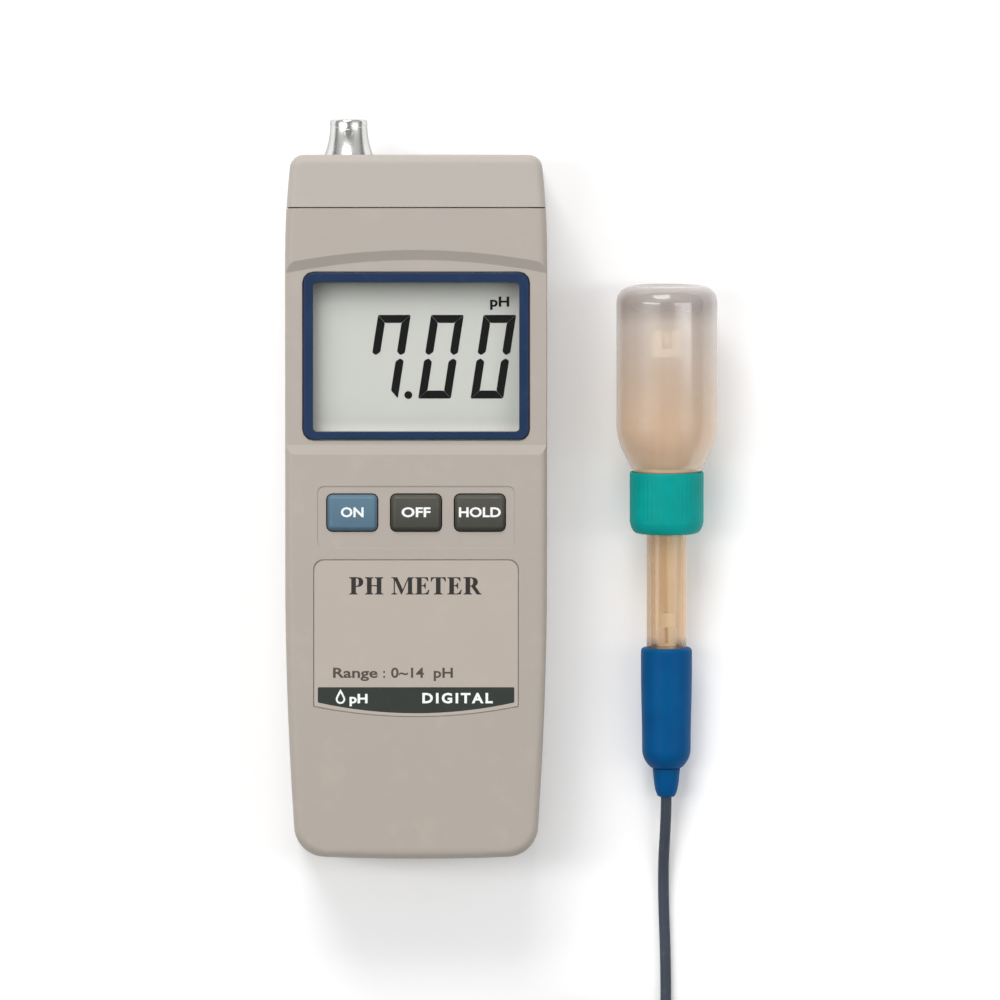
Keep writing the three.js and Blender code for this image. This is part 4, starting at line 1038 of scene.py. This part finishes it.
grip_finish = Finish("handle_blue", {"Specular IOR Level": 0.08})
grip_cloud = grip_finish.noise(9 * mm, 3)
grip_skin = grip_finish.noise(0.35 * mm, 3, 0.6)
grip_flow = grip_finish.noise(5 * mm, 3, 0.6, grip_finish.spread((2.5, 0.35, 2.5)))
grip_rub = grip_finish.fade(grip_finish.noise(2.4 * mm, 4, 0.7), 0.57, 0.76)
grip_blue = grip_finish.mix(grip_cloud, shade(0, 70, 122), shade(0, 88, 146))
grip_finish.set({
    "Base Color": grip_finish.mix(grip_rub * 0.08, grip_blue, shade(30, 112, 164)),
    "Roughness": 0.4 + 0.12 * grip_flow + 0.08 * grip_rub,
    "Normal": grip_finish.bump(grip_skin, 0.014 * mm, grip_finish.bump(grip_flow, 0.05 * mm)),
})
grip_end = -67.5
turned("electrode_grip", [
    (5.2, -36.3), (5.2, -45.7), (1.6, -45.7), (1.6, grip_end), (3.9, grip_end, 0.5),
    (5.2, grip_end + 1.4, 0.8), (6.05, grip_end + 3, 1), (6.25, grip_end + 4.5, 0.8),
    (6.28, grip_end + 11, 3), (6.55, grip_end + 20, 3), (6.6, -36.3, 0.95),
], "electrode", grip_finish, ["handle"], probe_place, 96)
relief_start = grip_end - 0.1
turned("cable_strain_relief", [
    (1.5, relief_start), (1.5, relief_start - 7.4), (2.15, relief_start - 7.4, 0.6),
    (2.75, relief_start - 6, 0.8), (3.1, relief_start - 4.4, 0.8), (3.35, relief_start - 2, 0.8),
    (3.55, relief_start, 0.1),
], "electrode", grip_finish, ["strain_relief"], probe_place, 72)


# Storage bottle: a frosted polyethylene bottle of soaking liquid, moulded with a threaded
# neck, in a teal screw cap that grips the barrel with a rubber seal.
bottle_top = 56.9
bottle_radius = 13
bottle_wall = 1.3
shoulder = 17.2
neck_radius = 8.2
neck_end = -1
cap_top = 9.1
cap_foot = -6.8
inner_radius = bottle_radius - bottle_wall
frost_finish = Finish("bottle_frosted", {
    "Specular IOR Level": 0.45, "Coat Weight": 1, "Coat Roughness": 0.1, "Coat IOR": 1.9,
})
frost_up = frost_finish.along("Y")
frost_cloud = frost_finish.noise(10 * mm, 4, 0.6)
frost_skin = frost_finish.noise(0.5 * mm, 3, 0.6)
frost_share = frost_finish.fade(frost_finish.facing(), 0.15, 1, 0.45, 0.72)
frost_wet = frost_finish.fade(frost_up, 50 * mm, 14 * mm)
frost_colour = frost_finish.mix(frost_wet, shade(222, 208, 198), shade(244, 210, 174))
# Painted shade: the colour darkens towards the bottle's closed end.
painted_end_shade = frost_finish.fade(frost_up, 45 * mm, 52 * mm)
frost_colour = frost_finish.mix(painted_end_shade, frost_colour, shade(172, 160, 154))
frost_colour = frost_finish.mix(frost_cloud * 0.2, frost_colour, shade(236, 218, 204))
# The wall is a little clearer where the guard lies under it, and painted light lightens its colour there
# so the guard behind reads bright.
clearer_and_painted_light = frost_finish.fade(abs(frost_up - 42 * mm), 7 * mm, 3 * mm)
clearer_and_painted_light = clearer_and_painted_light * frost_finish.fade(abs(frost_finish.along("X") - axis_start.x),
                                              7 * mm, 2 * mm)
frost_finish.set({
    "Base Color": frost_finish.mix(clearer_and_painted_light * 0.75, frost_colour, shade(255, 240, 220)),
    "Alpha": frost_share - 0.1 * clearer_and_painted_light + 0.1 * (frost_cloud - 0.5),
    "Roughness": 0.24 + 0.14 * frost_cloud,
    "Normal": frost_finish.bump(frost_skin, 0.01 * mm, frost_finish.bump(frost_cloud, 0.05 * mm)),
})
turned("frosted_bottle", [
    (0, bottle_top - 0.5), (bottle_radius - 5.2, bottle_top - 0.4, 0.8),
    (bottle_radius - 4.2, bottle_top, 0.8), (bottle_radius, bottle_top, 4),
    (bottle_radius, shoulder + 0.6, 3.2), (bottle_radius - 3.3, shoulder - 6.3, 1),
    (neck_radius + 0.9, cap_top + 1.1, 0.3), (neck_radius + 0.9, cap_top + 0.25, 0.2),
    (neck_radius, cap_top + 0.25, 0.2), (neck_radius, 7.4), (neck_radius + 0.24, 7, 0.1),
    (neck_radius + 0.24, 6.5, 0.1), (neck_radius, 6.1), (neck_radius, 4.8),
    (neck_radius + 0.24, 4.4, 0.1), (neck_radius + 0.24, 3.9, 0.1), (neck_radius, 3.5),
    (neck_radius, neck_end, 0.3), (neck_radius - 1.4, neck_end, 0.3),
    (neck_radius - 1.4, shoulder - 6.2, 1), (inner_radius, shoulder + 0.8, 2.5),
    (inner_radius, bottle_top - bottle_wall, 3), (0, bottle_top - bottle_wall - 0.4),
], "bottle", frost_finish, ["storage_bottle"], probe_place, 96, closed=False)
liquid_finish = see_through("soaking_liquid", 0.05,
                            (shade(232, 212, 186), shade(240, 224, 204)), (0.1, 0.3), 20 * mm)
painted(moulded("storage_solution", "soaking_solution"), liquid_finish)

teal_finish = worn_finish("cap_teal", shade(0, 166, 166), shade(0, 136, 122), 8 * mm,
                          (0.3 * mm, 0.014 * mm, 3), (0.42, 0.14, 0.08),
                          (2 * mm, 0.56, 0.76, 0.1, shade(40, 186, 178)), 0.1)
turned("teal_screw_cap", [
    (5.4, cap_foot, 0.2), (8.2, cap_foot, 0.9), (9.1, cap_foot + 1.4, 0.6),
    (9.5, cap_foot + 3, 0.5), (9.5, cap_foot + 3.2), (9.5, cap_foot + 7), (9.5, cap_top - 1.2),
    (9.5, cap_top, 0.45), (8.5, cap_top, 0.1), (8.5, cap_foot + 3.6), (5.4, cap_foot + 3.6, 0.2),
], "bottle_closure", teal_finish, ["bottle_cap"], probe_place, 288,
    ribs=(48, 0.07, cap_foot + 3.1, cap_top - 1.1))
painted(moulded("cap_seal", "cap_seal_ring", 0.2 * mm), seal_finish)


# Bayonet plug: a black rubber boot, a nickel body and a knurled turning collar with a white
# insulator and a gilt pin, at the cable's far end.
plug_place = Matrix.Translation(((boot_low.x + boot_high.x) / 2, 0,
                                 (boot_low.z + boot_high.z) / 2))
boot_back = boot_high.y / mm
boot_front = boot_low.y / mm
boot_finish = plain_finish("boot_rubber", shade(44, 45, 48), shade(30, 31, 34), 0.55,
                           0.15 * mm, rub=shade(86, 88, 92))
boot_outline = [(0, boot_front), (4.2, boot_front, 0.3), (4.2, boot_front + 3, 0.4)]
for ring_step in range(5):
    ring_y = boot_front + 4.6 + 2 * ring_step
    ring_radius = 4.05 - 0.26 * ring_step
    boot_outline += [(ring_radius, ring_y - 0.6, 0.1), (ring_radius - 0.45, ring_y - 0.4, 0.1),
                     (ring_radius - 0.5, ring_y + 0.4, 0.1), (ring_radius - 0.1, ring_y + 0.6, 0.1)]
boot_outline += [(2.6, boot_back - 3.2, 0.4), (2.2, boot_back, 0.3), (0, boot_back)]
plug_boot = turned("rubber_boot", boot_outline, "electrode", boot_finish,
                   ["plug_boot"], plug_place, 48, closed=False)
plug_body = painted(moulded("plug_body", "plug_shell", 0.12 * mm), nickel_finish)
collar_low, collar_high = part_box("plug_collar")
collar_back, collar_front = collar_high.y / mm, collar_low.y / mm
plug_collar = turned("turning_collar", [
    (4.55, collar_back, 0.1), (6.4, collar_back, 0.3), (7.2, collar_back - 0.9, 0.3),
    (7.2, collar_back - 1.2), (7.2, collar_back - 7), (6.8, collar_back - 7.3, 0.2),
    (6.8, collar_back - 8.4, 0.2), (7.2, collar_back - 8.7), (7.2, collar_front + 0.8),
    (6.9, collar_front, 0.2), (4.95, collar_front, 0.1), (4.95, collar_back - 3.2),
    (4.55, collar_back - 3.2, 0.05),
], "coupling_sleeve", nickel_finish, ["plug_collar"], plug_place, 320,
    ribs=(40, 0.3, collar_back - 6.9, collar_back - 1.25))
plug_insulator = painted(cad_nodes["plug_insulator"], insulator_finish)
plug_pin = painted(cad_nodes["plug_pin"], contact_finish)


# Coil tie: a thin woven hook-and-loop strap round the coil of lead, closed on itself with a
# short overlap.
tie_width = 5 * mm
tie_thick = 0.3
tie_inside = 9.25
tie_outside = 24.35
tie_low, tie_high = 0.03, high_layer + cable_radius / mm + 0.05
tie_angle = math.radians(205)
tie_rings = []
for grow in (tie_thick, 0):
    left, right = tie_inside - grow, tie_outside + grow
    low, high = tie_low + tie_thick - grow, tie_high + grow
    round_by = 0.7 + grow
    ring = []
    for corner_x, corner_z, start in [(right - round_by, high - round_by, 0),
                                      (left + round_by, high - round_by, 90),
                                      (left + round_by, low + round_by, 180),
                                      (right - round_by, low + round_by, 270)]:
        for turn in (0, 30, 60, 90):
            angle = math.radians(start + turn)
            ring.append((corner_x + round_by * math.cos(angle),
                         corner_z + round_by * math.sin(angle)))
    tie_rings.append(ring)
tie_shape = flat_outline(tie_rings, 0, 1)
tie_place = (Matrix.Translation((coil_x * mm, coil_y * mm, 0))
             @ Matrix.Rotation(tie_angle, 4, "Z") @ Matrix.Rotation(math.pi / 2, 4, "X"))
bmesh.ops.translate(tie_shape, vec=(0, 0, -0.5), verts=tie_shape.verts[:])
bmesh.ops.scale(tie_shape, vec=(mm, mm, tie_width), verts=tie_shape.verts[:])
bmesh.ops.transform(tie_shape, matrix=tie_place, verts=tie_shape.verts[:])
tie_finish = Finish("strap_weave", {"Sheen Weight": 0.3, "Specular IOR Level": 0.2})
tie_across = tie_finish.add("TexWave", {"bands_direction": "X"},
                            {"Vector": tie_finish.place, "Scale": 0.55 / mm}, "Fac")
tie_along = tie_finish.add("TexWave", {"bands_direction": "Y"},
                           {"Vector": tie_finish.place, "Scale": 0.55 / mm}, "Fac")
tie_fluff = tie_finish.noise(0.4 * mm, 4, 0.7)
tie_finish.set({
    "Base Color": tie_finish.mix(tie_fluff, shade(22, 23, 25), shade(52, 53, 56)),
    "Roughness": 0.75 + 0.15 * tie_fluff,
    "Normal": tie_finish.bump(tie_across * tie_along + 0.5 * tie_fluff, 0.08 * mm),
})
coil_tie = painted(placed(tie_shape, "coil_tie", "electrode"), tie_finish)


# The table and the studio light: a plain pale top, a large soft box high above the far
# edge, a weak strip box at each side, and a white room that is brightest near its horizon.
table_colour = shade(250, 250, 250)
table = bmesh.new()
bmesh.ops.create_grid(table, x_segments=1, y_segments=1, size=4)
bmesh.ops.translate(table, verts=table.verts[:], vec=(0, 0, -0.02 * mm))
table_mesh = bpy.data.meshes.new("table_top")
table.to_mesh(table_mesh)
table.free()
table_top = linked("table_top", table_mesh)
table_finish = Finish("table_paint", {
    "Roughness": 0.9, "Emission Color": table_colour, "Emission Strength": 0.07,
})
table_finish.set({"Base Color": table_finish.mix(table_finish.noise(60 * mm), table_colour,
                                                 shade(252, 252, 253))})
table_mesh.materials.append(table_finish.material)

room = bpy.data.worlds.new("room")
room.use_nodes = True
room_nodes, room_links = room.node_tree.nodes, room.node_tree.links
direction = room_nodes.new("ShaderNodeTexCoord")
parts = room_nodes.new("ShaderNodeSeparateXYZ")
glow = room_nodes.new("ShaderNodeValToRGB")
stops = glow.color_ramp.elements
for height, brightness in [(0, 0.1), (0.16, 0.16), (0.42, 0.56), (0.74, 0.62), (0.92, 0.32),
                           (1, 0.2)]:
    stop = stops[0] if height == 0 else stops[-1] if height == 1 else stops.new(height)
    stop.color = (brightness, brightness, brightness, 1)
room_links.new(direction.outputs["Generated"], parts.inputs[0])
room_links.new(parts.outputs["Z"], glow.inputs[0])
room_links.new(glow.outputs[0], room_nodes["Background"].inputs["Color"])
bpy.context.scene.world = room
for name, place, width, length, power in [
    ("soft_box_above", (-0.4, 2.05, 1.62), 1.4, 1.4, 41),
    ("strip_box_left", (-0.82, 0.05, 1.2), 0.28, 1.1, 6.0),
    ("strip_box_right", (0.95, 0.0, 1.2), 0.28, 1.1, 4.4),
]:
    lamp_data = bpy.data.lights.new(name, "AREA")
    lamp_data.shape = "RECTANGLE"
    lamp_data.size, lamp_data.size_y = width, length
    lamp_data.energy = power
    lamp = linked(name, lamp_data)
    lamp.location = place
    lamp.rotation_mode = "QUATERNION"
    lamp.rotation_quaternion = Vector(place).to_track_quat("Z", "Y")
bpy.context.scene.view_settings.view_transform = "Standard"
